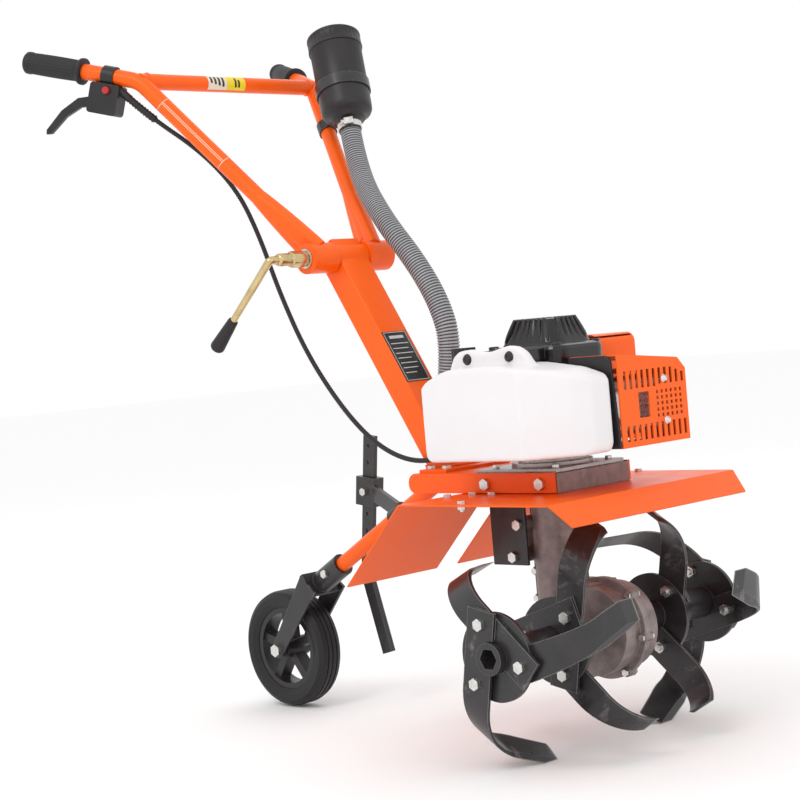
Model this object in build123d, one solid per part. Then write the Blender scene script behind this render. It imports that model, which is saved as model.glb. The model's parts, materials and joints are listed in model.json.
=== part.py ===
from build123d import *
import math
import os

# Mini cultivator: worm-geared tine rotors in front, small two-stroke engine above them,
# folding handlebar on a raked beam, a transport wheel and a drag stake behind.
# Millimetres. +X is forward, +Y is the machine's left, +Z is up.

# ---------------- driving dimensions ----------------
AXLE_X, AXLE_Z = -8.0, 3.0          # tine axle
CRANK_X = -72.0                     # vertical line shared by worm, clutch and crankshaft
GEAR_MODULE = 2.0
WHEEL_TEETH = 46                    # worm wheel teeth, single-start worm
CASE_R, CASE_HALF = 54.0, 30.0      # round part of the gear case and half its width
NECK_R = 31.0
BLOCK_Z0, BLOCK_Z1 = 174.2, 198.0   # square head of the gear case
FENDER_Z, FENDER_T = 172.0, 2.0
FENDER_HALF = 180.0
FLANGE_OUT, FLANGE_IN = 198.0, 94.0 # |Y| of the outer and inner tine flanges
BOLT_CIRCLE = 40.6                  # radius of the three tine bolts
PHASE_OUT, PHASE_IN = 109.0, 49.0   # angle of the first bolt on each flange
BLADE_W, BLADE_T = 40.0, 4.0
BLADE_END_W = 30.0                  # width of a blade at its free end
SKEW, BEND, BEND_R = 22.0, 80.0, 58.0   # slant of the bend line, bend angle and radius
REACH_OUT, REACH_IN = 112.0, 134.0  # how far outer and inner blades reach along their line
END_OUT, END_IN = 108.0, 49.0       # |Y| of the free ends
TIP_CLEAR = 48.5                    # |Y| that no blade tip passes, clear of the hanger bolts
HEX_AF = 22.0                       # tine shaft across flats
PIVOT = (-406.0, 0.0, 487.0)        # handlebar hinge
ARM_R = 11.0
ARM_Y0 = 50.0
BEND_1 = (-614.0, 160.0, 750.0)     # where the crossbar meets the arms
BEND_2 = (-668.0, 187.0, 767.5)
ARM_END = (-762.0, 231.0, 796.0)
GRIP_R, GRIP_L = 15.5, 92.0
BEAM_W, BEAM_D, BEAM_T = 52.0, 37.0, 2.5
WHEEL_C = (-584.0, 0.0, -53.0)
WHEEL_R, WHEEL_W = 82.0, 40.0
TUBE_R = 10.5                       # wheel tube
TANK = (-146.0, 78.0, -152.0, -54.0, 222.0, 330.0)
CYL_Z = 264.0                       # cylinder axis height
PISTON_R, STROKE = 20.0, 30.0
CAN_R, CAN_L = 37.0, 116.0
HOSE_R, HOSE_WALL = 15.0, 2.0
HOSE = [                            # centre line of the intake hose, canister to elbow
    (-483.0, 104.0, 667.0), (-460.0, 90.0, 604.0), (-377.0, 48.0, 533.0),
    (-322.0, 47.0, 472.0), (-284.0, 46.0, 414.0), (-268.0, 45.0, 360.0), (-280.0, 45.0, 304.0),
]
CABLE_R = 3.5
ARC_SHARE = 0.45                    # part of the shorter run that each arc takes
CABLE = [                           # centre line of the throttle cable, lever to carburettor
    (-628.0, -168.0, 728.0), (-606.0, -152.0, 700.0), (-564.0, -106.0, 650.0),
    (-541.0, -66.0, 594.0), (-528.0, -44.0, 528.0), (-506.0, -36.0, 448.0),
    (-462.0, -36.0, 362.0), (-402.0, -36.0, 286.0), (-344.0, -36.0, 236.0),
    (-284.0, -36.0, 212.0), (-228.0, -36.0, 214.0), (-188.0, -28.0, 232.0),
    (-158.0, -10.0, 256.0), (-148.0, 12.0, 270.0), (-146.0, 34.0, 275.0),
]


# ---------------- helpers ----------------
def rod(a, b, r):
    a = Vector(*a)
    d = Vector(*b) - a
    base = Plane(origin=a, z_dir=d.normalized())
    return base * Cylinder(r, d.length, align=(Align.CENTER, Align.CENTER, Align.MIN))


def pipe(a, b, ro, ri):
    a, b = Vector(*a), Vector(*b)
    u = (b - a).normalized()
    return rod(a, b, ro) - rod(a - u, b + u, ri)


def cone(a, b, r0, r1):
    a = Vector(*a)
    d = Vector(*b) - a
    base = Plane(origin=a, z_dir=d.normalized())
    return base * Cone(r0, r1, d.length, align=(Align.CENTER, Align.CENTER, Align.MIN))


def block(x0, x1, y0, y1, z0, z1, f=0.0):
    b = Pos((x0 + x1) / 2, (y0 + y1) / 2, (z0 + z1) / 2) * Box(x1 - x0, y1 - y0, z1 - z0)
    if f > 0:
        b = fillet(b.edges().filter_by(Axis.Z), f)
    return b


def slab(points, plane, t):
    return extrude(plane * make_face(Polyline(*points, close=True)), amount=t)


def swept(points, radii, r, inner=0.0):
    path = FilletPolyline(*points, radius=radii) if radii else Polyline(*points)
    start = Plane(origin=path @ 0, z_dir=path % 0)
    body = sweep(start * Circle(r), path=path, transition=Transition.ROUND)
    if inner > 0:
        body = body - sweep(start * Circle(inner), path=path, transition=Transition.ROUND)
    return body


def routed(points, r, name, inner=0.0):
    """Tube along straight runs joined by tangent arcs."""
    pts = [Vector(*p) for p in points]
    corners = []
    edges = []
    at = pts[0]
    for p, q, t in zip(pts, pts[1:], pts[2:]):
        u, v = (q - p).normalized(), (t - q).normalized()
        turn = math.acos(max(-1.0, min(1.0, u.dot(v))))
        cut = ARC_SHARE * min((q - p).length, (t - q).length)
        radius = cut / math.tan(turn / 2)
        corners.append((round(radius), round(math.degrees(turn)), round((q - p).length)))
        a, b = q - u * cut, q + v * cut
        mid = q + (v - u).normalized() * (radius / math.cos(turn / 2) - radius)
        edges.append(Line(at, a))
        edges.append(ThreePointArc(a, mid, b))
        at = b
    edges.append(Line(at, pts[-1]))
    path = Wire(edges)
    start = Plane(origin=pts[0], z_dir=(pts[1] - pts[0]).normalized())
    body = sweep(start * Circle(r), path=path)
    print(name, "length", round(path.length), "radius, turn, run", corners)
    if inner > 0:
        body = body - sweep(start * Circle(inner), path=path)
        print(name, "volume over section times length",
              round(body.volume / (math.pi * (r * r - inner * inner) * path.length), 4))
    else:
        print(name, "volume over section times length",
              round(body.volume / (math.pi * r * r * path.length), 4))
    return body.solid()


def bolt(head_at, way, r, length, af, head):
    """Hex bolt: the head sits on head_at, the shank runs along way."""
    w = Vector(*way).normalized()
    p = Vector(*head_at)
    cap = Plane(origin=p, z_dir=-w) * extrude(RegularPolygon(af / 2, 6, major_radius=False), head)
    return cap + rod(p, p + w * length, r)


def nut(at, way, r, af, h):
    w = Vector(*way).normalized()
    p = Vector(*at)
    n = Plane(origin=p, z_dir=w) * extrude(RegularPolygon(af / 2, 6, major_radius=False), h)
    return n - rod(p - w, p + w * (h + 1), r)


def group(items):
    return Compound(children=[s for i in items for s in i.solids()])


def unit(a, b):
    return (Vector(*b) - Vector(*a)).normalized()


P = {}

# ---------------- gear case: two halves split on the machine's centre plane ----------------
axle = (AXLE_X, 0, AXLE_Z)


def y_rod(x, z, y0, y1, r):
    return rod((x, y0, z), (x, y1, z), r)


case = y_rod(AXLE_X, AXLE_Z, -CASE_HALF, CASE_HALF, CASE_R)
case += rod((CRANK_X, 0, -38), (CRANK_X, 0, 171.8), NECK_R)
case += block(CRANK_X, AXLE_X, -26, 26, -36, 60)
rim = y_rod(AXLE_X, AXLE_Z, -4, 4, CASE_R + 8)
rim += block(CRANK_X - 40, CRANK_X + 40, -4, 4, -38, 171.8)
case += rim
case += block(-138, -8, -67.8, 67.8, BLOCK_Z0, BLOCK_Z1)
case += rod((CRANK_X, 0, 165), (CRANK_X, 0, 180), NECK_R)
case -= y_rod(AXLE_X, AXLE_Z, -11, 11, 50.0)
case -= rod((CRANK_X, 0, -32), (CRANK_X, 0, 44), 21.5)
case -= rod((CRANK_X, 0, 40), (CRANK_X, 0, 200), 12.0)
case -= rod((CRANK_X, 0, 148), (CRANK_X, 0, 160), 16.0)
case -= rod((CRANK_X, 0, 184), (CRANK_X, 0, 200), 30.0)
case -= y_rod(AXLE_X, AXLE_Z, -40, 40, 17.0)
case -= y_rod(AXLE_X, AXLE_Z, -25, -13, 21.0)
case -= y_rod(AXLE_X, AXLE_Z, 13, 25, 21.0)
case_spots = []
for a in (-112, -60, -8, 44):
    x = AXLE_X + (CASE_R + 6.0) * math.cos(math.radians(a))
    z = AXLE_Z + (CASE_R + 6.0) * math.sin(math.radians(a))
    case_spots.append((x, z))
for z in (98, 150):
    case_spots.append((CRANK_X + 36.6, z))
for z in (-8, 36, 70, 158):
    case_spots.append((CRANK_X - 36.6, z))
for x, z in case_spots:
    case += y_rod(x, z, -6.5, 6.5, 5.6)
for x, z in case_spots:
    case -= y_rod(x, z, -20, 20, 2.6)
hole_top = [(-120, -50), (-24, -50), (-120, 50), (-24, 50)]
for x, y in hole_top:
    case -= rod((x, y, 186), (x, y, 205), 2.5)
case -= y_rod(-118, 186, -80, 80, 4.1)
case -= y_rod(-30, 186, -80, 80, 4.1)
half = block(-400, 200, -200, 0, -200, 400)
P["gear_case_right"] = (case & half).solids().sort_by(SortBy.VOLUME)[-1]
half = block(-400, 200, 0, 200, -200, 400)
P["gear_case_left"] = (case & half).solids().sort_by(SortBy.VOLUME)[-1]

case_bolts = []
for x, z in case_spots:
    case_bolts.append(bolt((x, -6.5, z), (0, 1, 0), 2.5, 16.0, 8.0, 4.0))
    case_bolts.append(nut((x, 6.5, z), (0, 1, 0), 2.55, 8.0, 4.0))
P["case_bolts"] = group(case_bolts)


def ring_y(x, z, y0, y1, ro, ri):
    return y_rod(x, z, y0, y1, ro) - y_rod(x, z, y0 - 1, y1 + 1, ri)


P["axle_bearings"] = group([
    ring_y(AXLE_X, AXLE_Z, 13.2, 24.8, 20.97, 14.55),
    ring_y(AXLE_X, AXLE_Z, -24.8, -13.2, 20.97, 14.55),
])
P["axle_seals"] = group([
    ring_y(AXLE_X, AXLE_Z, 25.2, 31.5, 16.95, 14.6),
    ring_y(AXLE_X, AXLE_Z, -31.5, -25.2, 16.95, 14.6),
])
P["worm_bearing"] = pipe((CRANK_X, 0, 148.2), (CRANK_X, 0, 159.8), 15.97, 8.05)

# ---------------- tine shaft and worm gear ----------------
TIP_R = GEAR_MODULE * WHEEL_TEETH / 2 + GEAR_MODULE
ROOT_R = GEAR_MODULE * WHEEL_TEETH / 2 - 1.3 * GEAR_MODULE
HUB_END = 214.0
shaft = y_rod(AXLE_X, AXLE_Z, -36, 36, 14.5)
hexbar = RegularPolygon(HEX_AF / 2, 6, major_radius=False)
for s in (-1, 1):
    start = Plane(origin=(AXLE_X, s * 36, AXLE_Z), z_dir=(0, s, 0), x_dir=(1, 0, 0))
    shaft += extrude(start * hexbar, 154.0)
P["tine_shaft"] = shaft.solid()


def gear_profile(n, tip, root, frac_tip, frac_root):
    pts = []
    step = 2 * math.pi / n
    for i in range(n):
        mid = i * step
        for r, f in ((root, -frac_root), (tip, -frac_tip), (tip, frac_tip), (root, frac_root)):
            a = mid + f * step
            pts.append((r * math.cos(a), r * math.sin(a)))
    return make_face(Polyline(*pts, close=True))


tooth = gear_profile(WHEEL_TEETH, TIP_R, ROOT_R, 0.095, 0.31)
gear_plane = Plane(origin=(AXLE_X, -6, AXLE_Z), z_dir=(0, 1, 0), x_dir=(-1, 0, 0))
gear = extrude(gear_plane * tooth, 12.0)
gear += y_rod(AXLE_X, AXLE_Z, -10.5, 10.5, 24)
gear -= y_rod(AXLE_X, AXLE_Z, -20, 20, 14.55)
P["worm_wheel"] = gear.solid()

LEAD = math.pi * GEAR_MODULE
worm_core = rod((CRANK_X, 0, AXLE_Z - 30), (CRANK_X, 0, AXLE_Z + 34), 15.4)
worm_core += rod((CRANK_X, 0, AXLE_Z + 30), (CRANK_X, 0, 203), 8.0)
THREADS = 7
thread_path = Helix(pitch=LEAD, height=LEAD * THREADS, radius=15.3)
thread_path = Pos(CRANK_X, 0, AXLE_Z - LEAD * THREADS / 2) * thread_path
p0 = thread_path @ 0
t0 = thread_path % 0
section_plane = Plane(origin=p0, x_dir=(1, 0, 0), z_dir=t0)
thread_face = make_face(Polyline((-0.3, -1.75), (4.5, -0.5), (4.5, 0.5), (-0.3, 1.75), close=True))
thread = sweep(section_plane * thread_face, path=thread_path, is_frenet=True)
P["worm_shaft"] = (worm_core + thread).solid()

# ---------------- tine rotors ----------------
def blade(angle, y_face, side, y_end, reach_along):
    """One flat blade whose free end is bent towards the machine across a slanting bend line.

    angle: direction of the blade in the XZ plane, degrees from +X towards +Z
    y_face: |Y| of its outward face, y_end: |Y| of its free end, side: -1 right, 1 left
    reach_along: how far the bend reaches along the blade
    """
    a = math.radians(angle)
    d = Vector(math.cos(a), 0, math.sin(a))
    w = Vector(-math.sin(a), 0, math.cos(a))
    n = Vector(0, -side, 0)
    b = math.radians(SKEW)
    th = math.radians(BEND)
    m = d * math.cos(b) - w * math.sin(b)
    ax = w * math.cos(b) + d * math.sin(b)
    x1 = reach_along - BEND_R
    centre = Vector(AXLE_X, side * y_face, AXLE_Z) - w * (BOLT_CIRCLE / 2) + d * x1
    root = -BOLT_CIRCLE * math.sin(math.radians(60)) - 17.0 - x1
    # section across the bend line: x runs along m, y along n
    arc_o = CenterArc((0, BEND_R), BEND_R, -90, BEND)
    arc_i = CenterArc((0, BEND_R), BEND_R - BLADE_T, -90, BEND)
    way = Vector(math.cos(th), math.sin(th), 0)
    far_o, far_i = arc_o @ 1 + way * 70, arc_i @ 1 + way * 70
    back = -260.0
    section = make_face([
        Line((back, 0), (0, 0)), arc_o, Line(arc_o @ 1, far_o), Line(far_o, far_i),
        Line(far_i, arc_i @ 1), arc_i, Line((0, BLADE_T), (back, BLADE_T)),
        Line((back, BLADE_T), (back, 0)),
    ])
    bar = Plane(origin=centre - ax * 130, x_dir=m, z_dir=m.cross(n)) * section
    bar = extrude(bar, 260.0, dir=ax)
    # outline of the strip seen square to the flange, its bent part foreshortened
    rn = BEND_R - BLADE_T / 2
    height = y_face - y_end
    mu_end = rn * th + (height - rn * (1 - math.cos(th))) / math.sin(th)
    s_end = mu_end / math.cos(b)

    def seen(s, t):
        mu = s * math.cos(b) - t * math.sin(b)
        al = s * math.sin(b) + t * math.cos(b)
        if mu > rn * th:
            mm = rn * math.sin(th) + (mu - rn * th) * math.cos(th)
        elif mu > 0:
            mm = rn * math.sin(mu / rn)
        else:
            mm = mu
        p = m * mm + ax * al
        return (p.dot(d), p.dot(w))

    h0, h1 = BLADE_W / 2, BLADE_END_W / 2

    def edge(t_sign):
        s0 = t_sign * h0 * math.tan(b)
        pts = [seen(s0 + (s_end - s0) * k / 7, t_sign * (h0 + (h1 - h0) * k / 7)) for k in range(8)]
        return pts

    low, high = edge(-1), edge(1)
    outline = make_face([
        Line((root, -h0), low[0]), Spline(*low), Line(low[-1], high[-1]), Spline(*high),
        Line(high[0], (root, h0)), Line((root, h0), (root, -h0)),
    ])
    prism = Plane(origin=centre - n * 20, x_dir=d, z_dir=d.cross(w)) * outline
    prism = extrude(prism, 260.0, dir=n)
    return (bar & prism).solids().sort_by(SortBy.VOLUME)[-1]


def bolt_spot(phase, k):
    a = math.radians(phase + 120 * k)
    return (AXLE_X + BOLT_CIRCLE * math.cos(a), AXLE_Z + BOLT_CIRCLE * math.sin(a))


def rotor(side, name):
    s = side
    hub = y_rod(AXLE_X, AXLE_Z, s * 52, s * HUB_END, 19.0)
    for y, ph in ((FLANGE_IN, PHASE_IN), (FLANGE_OUT, PHASE_OUT)):
        hub += y_rod(AXLE_X, AXLE_Z, s * (y - 2.5), s * (y + 2.5), 52.0)
    start = Plane(origin=(AXLE_X, s * 40, AXLE_Z), z_dir=(0, s, 0), x_dir=(1, 0, 0))
    hub -= extrude(start * RegularPolygon(HEX_AF / 2 + 0.15, 6, major_radius=False), 190.0)
    for y, ph in ((FLANGE_IN, PHASE_IN), (FLANGE_OUT, PHASE_OUT)):
        for k in range(3):
            x, z = bolt_spot(ph, k)
            hub -= y_rod(x, z, s * (y - 5), s * (y + 5), 4.2)
    P["tine_hub_" + name] = hub.solid()
    for y, ph, label, y_end, reach in (
        (FLANGE_OUT, PHASE_OUT, "outer", END_OUT, REACH_OUT),
        (FLANGE_IN, PHASE_IN, "inner", END_IN, REACH_IN),
    ):
        blades = []
        bolts = []
        for k in range(3):
            # blade k runs from bolt k to bolt k+1; blade 2 lies on the flange, blade 0 on top
            # of blade 2, and blade 1 behind the flange
            face = (y + 2.5 + 2 * BLADE_T, y - 2.5, y + 2.5 + BLADE_T)[k]
            b = blade(ph + 120 * k + 150, face, s, y_end, reach)
            y0, y1 = sorted((s * TIP_CLEAR, s * 300))
            b = b & block(-300, 300, y0, y1, -300, 300)
            for j in (k, k + 1):
                x, z = bolt_spot(ph, j)
                b = b - y_rod(x, z, s * (y - 14), s * (y + 14), 4.2)
            b = b - y_rod(AXLE_X, AXLE_Z, s * (y - 14), s * (y + 14), 19.4)
            blades.append(b)
        P["tines_" + label + "_" + name] = group(blades)
        for k in range(3):
            x, z = bolt_spot(ph, k)
            # thicknesses of blade on the outward and inward faces at this bolt
            near = (2, 2, 1)[k]
            far = (0, 1, 1)[k]
            if k == 1:
                # a spacer fills the gap under the blade that lies on top
                y0 = y + 2.5
                sp = y_rod(x, z, s * y0, s * (y0 + BLADE_T), 9.0)
                sp = sp - y_rod(x, z, s * (y0 - 9), s * (y0 + 9), 4.2)
                bolts.append(sp)
            yh = y + 2.5 + near * BLADE_T
            yn = y - 2.5 - far * BLADE_T
            length = abs(yh - yn) + 9.0
            bolts.append(bolt((x, s * yh, z), (0, -s, 0), 4.0, length, 13.0, 5.3))
            bolts.append(nut((x, s * yn, z), (0, -s, 0), 4.05, 13.0, 6.5))
        P["tine_bolts_" + label + "_" + name] = group(bolts)


rotor(-1, "right")
rotor(1, "left")
pins = []
for s in (-1, 1):
    pins.append(rod((AXLE_X - 19.0, s * 62, AXLE_Z), (AXLE_X + 19.0, s * 62, AXLE_Z), 3.0))
for s, name in ((-1, "right"), (1, "left")):
    cut = rod((AXLE_X - 30.0, s * 62, AXLE_Z), (AXLE_X + 30.0, s * 62, AXLE_Z), 3.05)
    P["tine_hub_" + name] = (P["tine_hub_" + name] - cut).solid()
    P["tine_shaft"] = (P["tine_shaft"] - cut).solid()
P["hub_pins"] = group(pins)

# ---------------- fender and its hangers ----------------
T2 = FENDER_T
sheet = [
    (92.0, 147.2), (68.0, FENDER_Z), (-165.0, FENDER_Z), (-266.0, 71.0),
    (-267.4, 72.4), (-165.8, FENDER_Z + T2), (68.8, FENDER_Z + T2), (93.4, 148.6),
]
fender = extrude(Plane.XZ * make_face(Polyline(*sheet, close=True)), FENDER_HALF, both=True)
fender -= block(-116, -28, -42, 42, 150, 190)
fender -= block(-300, -164, -20, 20, 50, 190)
side_cut = [(60.0, FENDER_HALF + 1), (110.0, FENDER_HALF + 1), (110.0, FENDER_HALF - 22)]
for s in (-1, 1):
    tri = Polyline(*[(x, s * y) for x, y in side_cut], close=True)
    fender -= Pos(0, 0, 100) * extrude(make_face(tri), 100)
fender_holes = [(-72, -168), (-72, 168), (-150, -110), (-150, 110)]
hanger_holes = [(-134, -82), (-102, -82), (-134, 82), (-102, 82)]
for x, y in fender_holes + hanger_holes:
    fender -= rod((x, y, 160), (x, y, 180), 2.7)
P["fender"] = fender.solid()

hangers = []
for s in (-1, 1):
    y0, y1 = sorted((s * 36.2, s * 40.2))
    h = block(-146, -90, y0, y1, 82, FENDER_Z - 0.2)
    ya, yb = sorted((s * 36.2, s * 92))
    h += block(-146, -90, ya, yb, FENDER_Z - 3.7, FENDER_Z - 0.2)
    for x, z in ((-101, 132), (-112, 92)):
        h -= y_rod(x, z, -90, 90, 3.1)
    for x in (-134, -102):
        h -= rod((x, s * 82, 150), (x, s * 82, 180), 2.7)
    hangers.append(h)
P["fender_hangers"] = group(hangers)
lugs = y_rod(-101, 132, -36, 36, 9.0) + y_rod(-112, 92, -36, 36, 9.0)
lugs += block(-112, -95, -12, 12, 84, 140)
lugs -= rod((CRANK_X, 0, 60), (CRANK_X, 0, 200), 20.0)
for x, z in ((-101, 132), (-112, 92)):
    lugs -= y_rod(x, z, -60, -20, 2.95)
    lugs -= y_rod(x, z, 20, 60, 2.95)
right_side = block(-400, 200, -200, 0, -200, 400)
left_side = block(-400, 200, 0, 200, -200, 400)
P["gear_case_right"] = (P["gear_case_right"] + (lugs & right_side)).solids().sort_by(SortBy.VOLUME)[-1]
P["gear_case_left"] = (P["gear_case_left"] + (lugs & left_side)).solids().sort_by(SortBy.VOLUME)[-1]
plate_bolts = []
for s in (-1, 1):
    for x, z in ((-101, 132), (-112, 92)):
        plate_bolts.append(bolt((x, s * 40.2, z), (0, -s, 0), 2.9, 18.0, 12.0, 5.0))
    for x in (-134, -102):
        plate_bolts.append(bolt((x, s * 82, FENDER_Z + T2), (0, 0, -1), 2.6, 12.0, 9.0, 4.0))
        plate_bolts.append(nut((x, s * 82, FENDER_Z - 3.7), (0, 0, -1), 2.65, 9.0, 4.5))
for x, y in fender_holes:
    plate_bolts.append(bolt((x, y, FENDER_Z + T2), (0, 0, -1), 2.6, 9.0, 9.0, 4.0))
    plate_bolts.append(nut((x, y, FENDER_Z), (0, 0, -1), 2.65, 9.0, 4.5))
P["fender_bolts"] = group(plate_bolts)

# ---------------- base bracket, beam and hinge head ----------------
WEB_Z = 195.3
bracket = None
for s in (-1, 1):
    y0, y1 = sorted((s * 68.0, s * 73.0))
    c = block(-251, -10, y0, y1, 175, 199.3)
    c = fillet(c.edges().filter_by(Axis.Y).sort_by(Axis.X)[:2], 11.0)
    bracket = c if bracket is None else bracket + c
bracket += block(-246, -142, -70, 70, WEB_Z, WEB_Z + 4)
for x in (-118, -30):
    bracket -= y_rod(x, 186, -90, 90, 4.2)
foot_bolts = [(-232, -48), (-232, 48), (-206, -48), (-206, 48)]
for x, y in foot_bolts:
    bracket -= rod((x, y, 190), (x, y, 205), 3.2)
P["base_bracket"] = bracket.solid()
cross = []
for x in (-118, -30):
    cross.append(bolt((x, -73, 186), (0, 1, 0), 4.0, 160.0, 13.0, 5.5))
    cross.append(nut((x, 73, 186), (0, 1, 0), 4.05, 13.0, 6.5))
for x, y in foot_bolts:
    cross.append(bolt((x, y, 203.3), (0, 0, -1), 3.1, 17.0, 10.0, 4.2))
    cross.append(nut((x, y, WEB_Z), (0, 0, -1), 3.15, 10.0, 5.0))
P["bracket_bolts"] = group(cross)

foot = Vector(-240.6, 0, 199.3 + 4)
head = Vector(PIVOT[0] - 16.0, 0, PIVOT[2] + 15.0)
up = (head - foot).normalized()
beam_plane = Plane(origin=foot - up * 40, z_dir=up, x_dir=(0, 1, 0))
length = (head - foot).length + 40
outer = extrude(beam_plane * RectangleRounded(BEAM_W, BEAM_D, 3.0), length)
hollow = RectangleRounded(BEAM_W - 2 * BEAM_T, BEAM_D - 2 * BEAM_T, 1.5)
beam = outer - extrude(beam_plane * hollow, length - 4)
beam -= block(-500, 0, -100, 100, 60, 203.3)
beam += block(-243, -196, -60, 60, 199.3, 203.3)
beam += block(-266, -243, -24, 24, 199.3, 203.3)
for x, y in foot_bolts:
    beam -= rod((x, y, 190), (x, y, 205), 3.2)
beam += y_rod(PIVOT[0], PIVOT[2], -28.0, 28.0, 17.0)
beam -= y_rod(PIVOT[0], PIVOT[2], -60, 60, 6.1)
P["main_beam"] = beam.solid()
# ---------------- wheel tube, collar, fork and wheel ----------------
TUBE_Z = WEB_Z - TUBE_R
tube_pts = [(-160, 0, TUBE_Z), (-262, 0, TUBE_Z), (-462, 0, 70), (-512, 0, 41.4)]
wt = swept(tube_pts, 60.0, TUBE_R, TUBE_R - 2.0)
wt -= rod((-486, -30, 56.3), (-486, 30, 56.3), 3.15)
P["wheel_tube"] = wt.solid()
tdir = unit((-462, 0, 70), (-512, 0, 41.4))
c0 = Vector(-462, 0, 70) + tdir * 4
c1 = c0 + tdir * 58
collar = pipe(c0, c1, 16.0, TUBE_R + 0.05)
crown_mid = c1 - tdir * 6
wheel_c = Vector(*WHEEL_C)
crown_plane = Plane(origin=crown_mid, x_dir=(0, 1, 0), z_dir=tdir)
crown = extrude(crown_plane * Rectangle(60.0, 34.0), 6.0)
crown -= rod(crown_mid - tdir * 10, crown_mid + tdir * 20, TUBE_R + 0.05)
fork = collar + crown
for s in (-1, 1):
    a = crown_mid
    b = wheel_c
    d = (b - a).normalized()
    n = Vector(-d.Z, 0, d.X)
    w0, w1 = 17.0, 11.0
    pts = [a + n * w0, a - n * w0, b - n * w1, b + n * w1]
    face = make_face(Polyline(*[(p.X, 0, p.Z) for p in pts], close=True))
    leg = extrude(face, 4.0, dir=(0, 1, 0))
    leg = Pos(0, 26.0 if s > 0 else -30.0, 0) * leg
    leg += y_rod(WHEEL_C[0], WHEEL_C[2], s * 26.0, s * 30.0, 11.0)
    fork += leg
fork -= y_rod(WHEEL_C[0], WHEEL_C[2], -60, 60, 5.05)
fork -= rod((-486, -30, 56.3), (-486, 30, 56.3), 3.15)
P["wheel_fork"] = fork.solid()
P["fork_bolt"] = group([
    bolt((-486, -16.1, 56.3), (0, 1, 0), 3.0, 38.0, 10.0, 4.5),
    nut((-486, 16.1, 56.3), (0, 1, 0), 3.05, 10.0, 5.0),
])
P["wheel_axle"] = group([
    bolt((WHEEL_C[0], -30.0, WHEEL_C[2]), (0, 1, 0), 5.0, 70.0, 16.0, 6.0),
    nut((WHEEL_C[0], 30.0, WHEEL_C[2]), (0, 1, 0), 5.05, 16.0, 8.0),
])
wx, wz = WHEEL_C[0], WHEEL_C[2]
tyre_prof = [
    (58.0, -15.0), (66.0, -19.0), (74.0, -WHEEL_W / 2), (80.0, -16.0), (WHEEL_R, -10.0),
    (WHEEL_R, 10.0), (80.0, 16.0), (74.0, WHEEL_W / 2), (66.0, 19.0), (58.0, 15.0),
]
tyre_face = make_face(Polyline(*[(wx + r, y, wz) for r, y in tyre_prof], close=True))
tyre = revolve(tyre_face, Axis((wx, 0, wz), (0, 1, 0)), 360)
for y in (-8, 0, 8):
    tyre -= ring_y(wx, wz, y - 1.2, y + 1.2, WHEEL_R + 3, WHEEL_R - 2.0)
P["tyre"] = tyre.solid()
rim_w = ring_y(wx, wz, -14, 14, 57.95, 50.0) + y_rod(wx, wz, -21, 21, 14.0)
for k in range(5):
    a = math.radians(72 * k + 20)
    sp = Pos(wx, 0, wz) * Rot(0, -math.degrees(a), 0) * (Pos(32, 0, 0) * Box(44, 20, 12))
    rim_w += sp
rim_w -= y_rod(wx, wz, -40, 40, 5.08)
P["wheel_rim"] = rim_w.solid()

# ---------------- drag stake and its holder ----------------
SY = 50.0
top = Vector(-441, SY, 241)
low = Vector(-470, SY, 40)
tip = Vector(-441, SY, -62)
sd = (low - top).normalized()


def flat_bar(a, b, w, t, y):
    a, b = Vector(*a), Vector(*b)
    d = (b - a).normalized()
    n = Vector(-d.Z, 0, d.X) * (w / 2)
    pts = [a + n, a - n, b - n, b + n]
    face = make_face(Polyline(*[(p.X, y - t / 2, p.Z) for p in pts], close=True))
    return extrude(face, t, dir=(0, 1, 0))


stake = flat_bar(top, low, 20.0, 8.0, SY)
stake += flat_bar(low - sd * 3, tip, 18.0, 8.0, SY)
stake += y_rod(low.X, low.Z, SY - 4, SY + 4, 10.0)
for k in range(6):
    p = top + sd * (14 + 24 * k)
    stake -= y_rod(p.X, p.Z, SY - 10, SY + 10, 3.1)
P["drag_stake"] = stake.solid()
hold_at = top + sd * 78
h_a, h_b = hold_at - sd * 20, hold_at + sd * 20
holder = flat_bar(h_a, h_b, 34.0, 20.0, SY)
holder -= flat_bar(h_a - sd * 9, h_b + sd * 9, 20.3, 8.3, SY)
run = unit((-262, 0, TUBE_Z), (-462, 0, 70))
ring_at = Vector(-262, 0, TUBE_Z) + run * 96
ring_a, ring_b = ring_at - run * 11, ring_at + run * 11
arm_a = Vector(ring_at.X - 4, 15.0, ring_at.Z - 3)
arm_b = Vector(hold_at.X + 15, 44.0, hold_at.Z - 2)
arm_way = (arm_b - arm_a).normalized()
arm_plane = Plane(origin=arm_a - arm_way * 3, z_dir=arm_way, x_dir=Vector(0, 0, 1).cross(arm_way))
arm_bar = extrude(arm_plane * Rectangle(6.0, 22.0), (arm_b - arm_a).length + 3)
holder += arm_bar - flat_bar(h_a - sd * 9, h_b + sd * 9, 33.0, 19.0, SY)
holder += rod(ring_a, ring_b, 14.5)
holder += block(ring_at.X - 8, ring_at.X + 8, -7, 7, ring_at.Z - 27, ring_at.Z - 8)
holder -= rod(ring_a - run * 5, ring_b + run * 5, TUBE_R + 0.05)
holder -= block(ring_at.X - 20, ring_at.X + 20, -1.5, 1.5, ring_at.Z - 30, ring_at.Z - 5)
holder -= flat_bar(h_a - sd * 9, h_b + sd * 9, 20.3, 8.3, SY)
holder -= y_rod(hold_at.X, hold_at.Z, SY - 30, SY - 4.1, 3.1)
pinch = (ring_at.X, ring_at.Z - 21)
holder -= y_rod(pinch[0], pinch[1], -30, 30, 3.2)
P["stake_holder"] = holder.solid()
P["stake_screw"] = bolt((hold_at.X, SY - 10, hold_at.Z), (0, 1, 0), 3.0, 5.7, 10.0, 5.0).solid()
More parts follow.
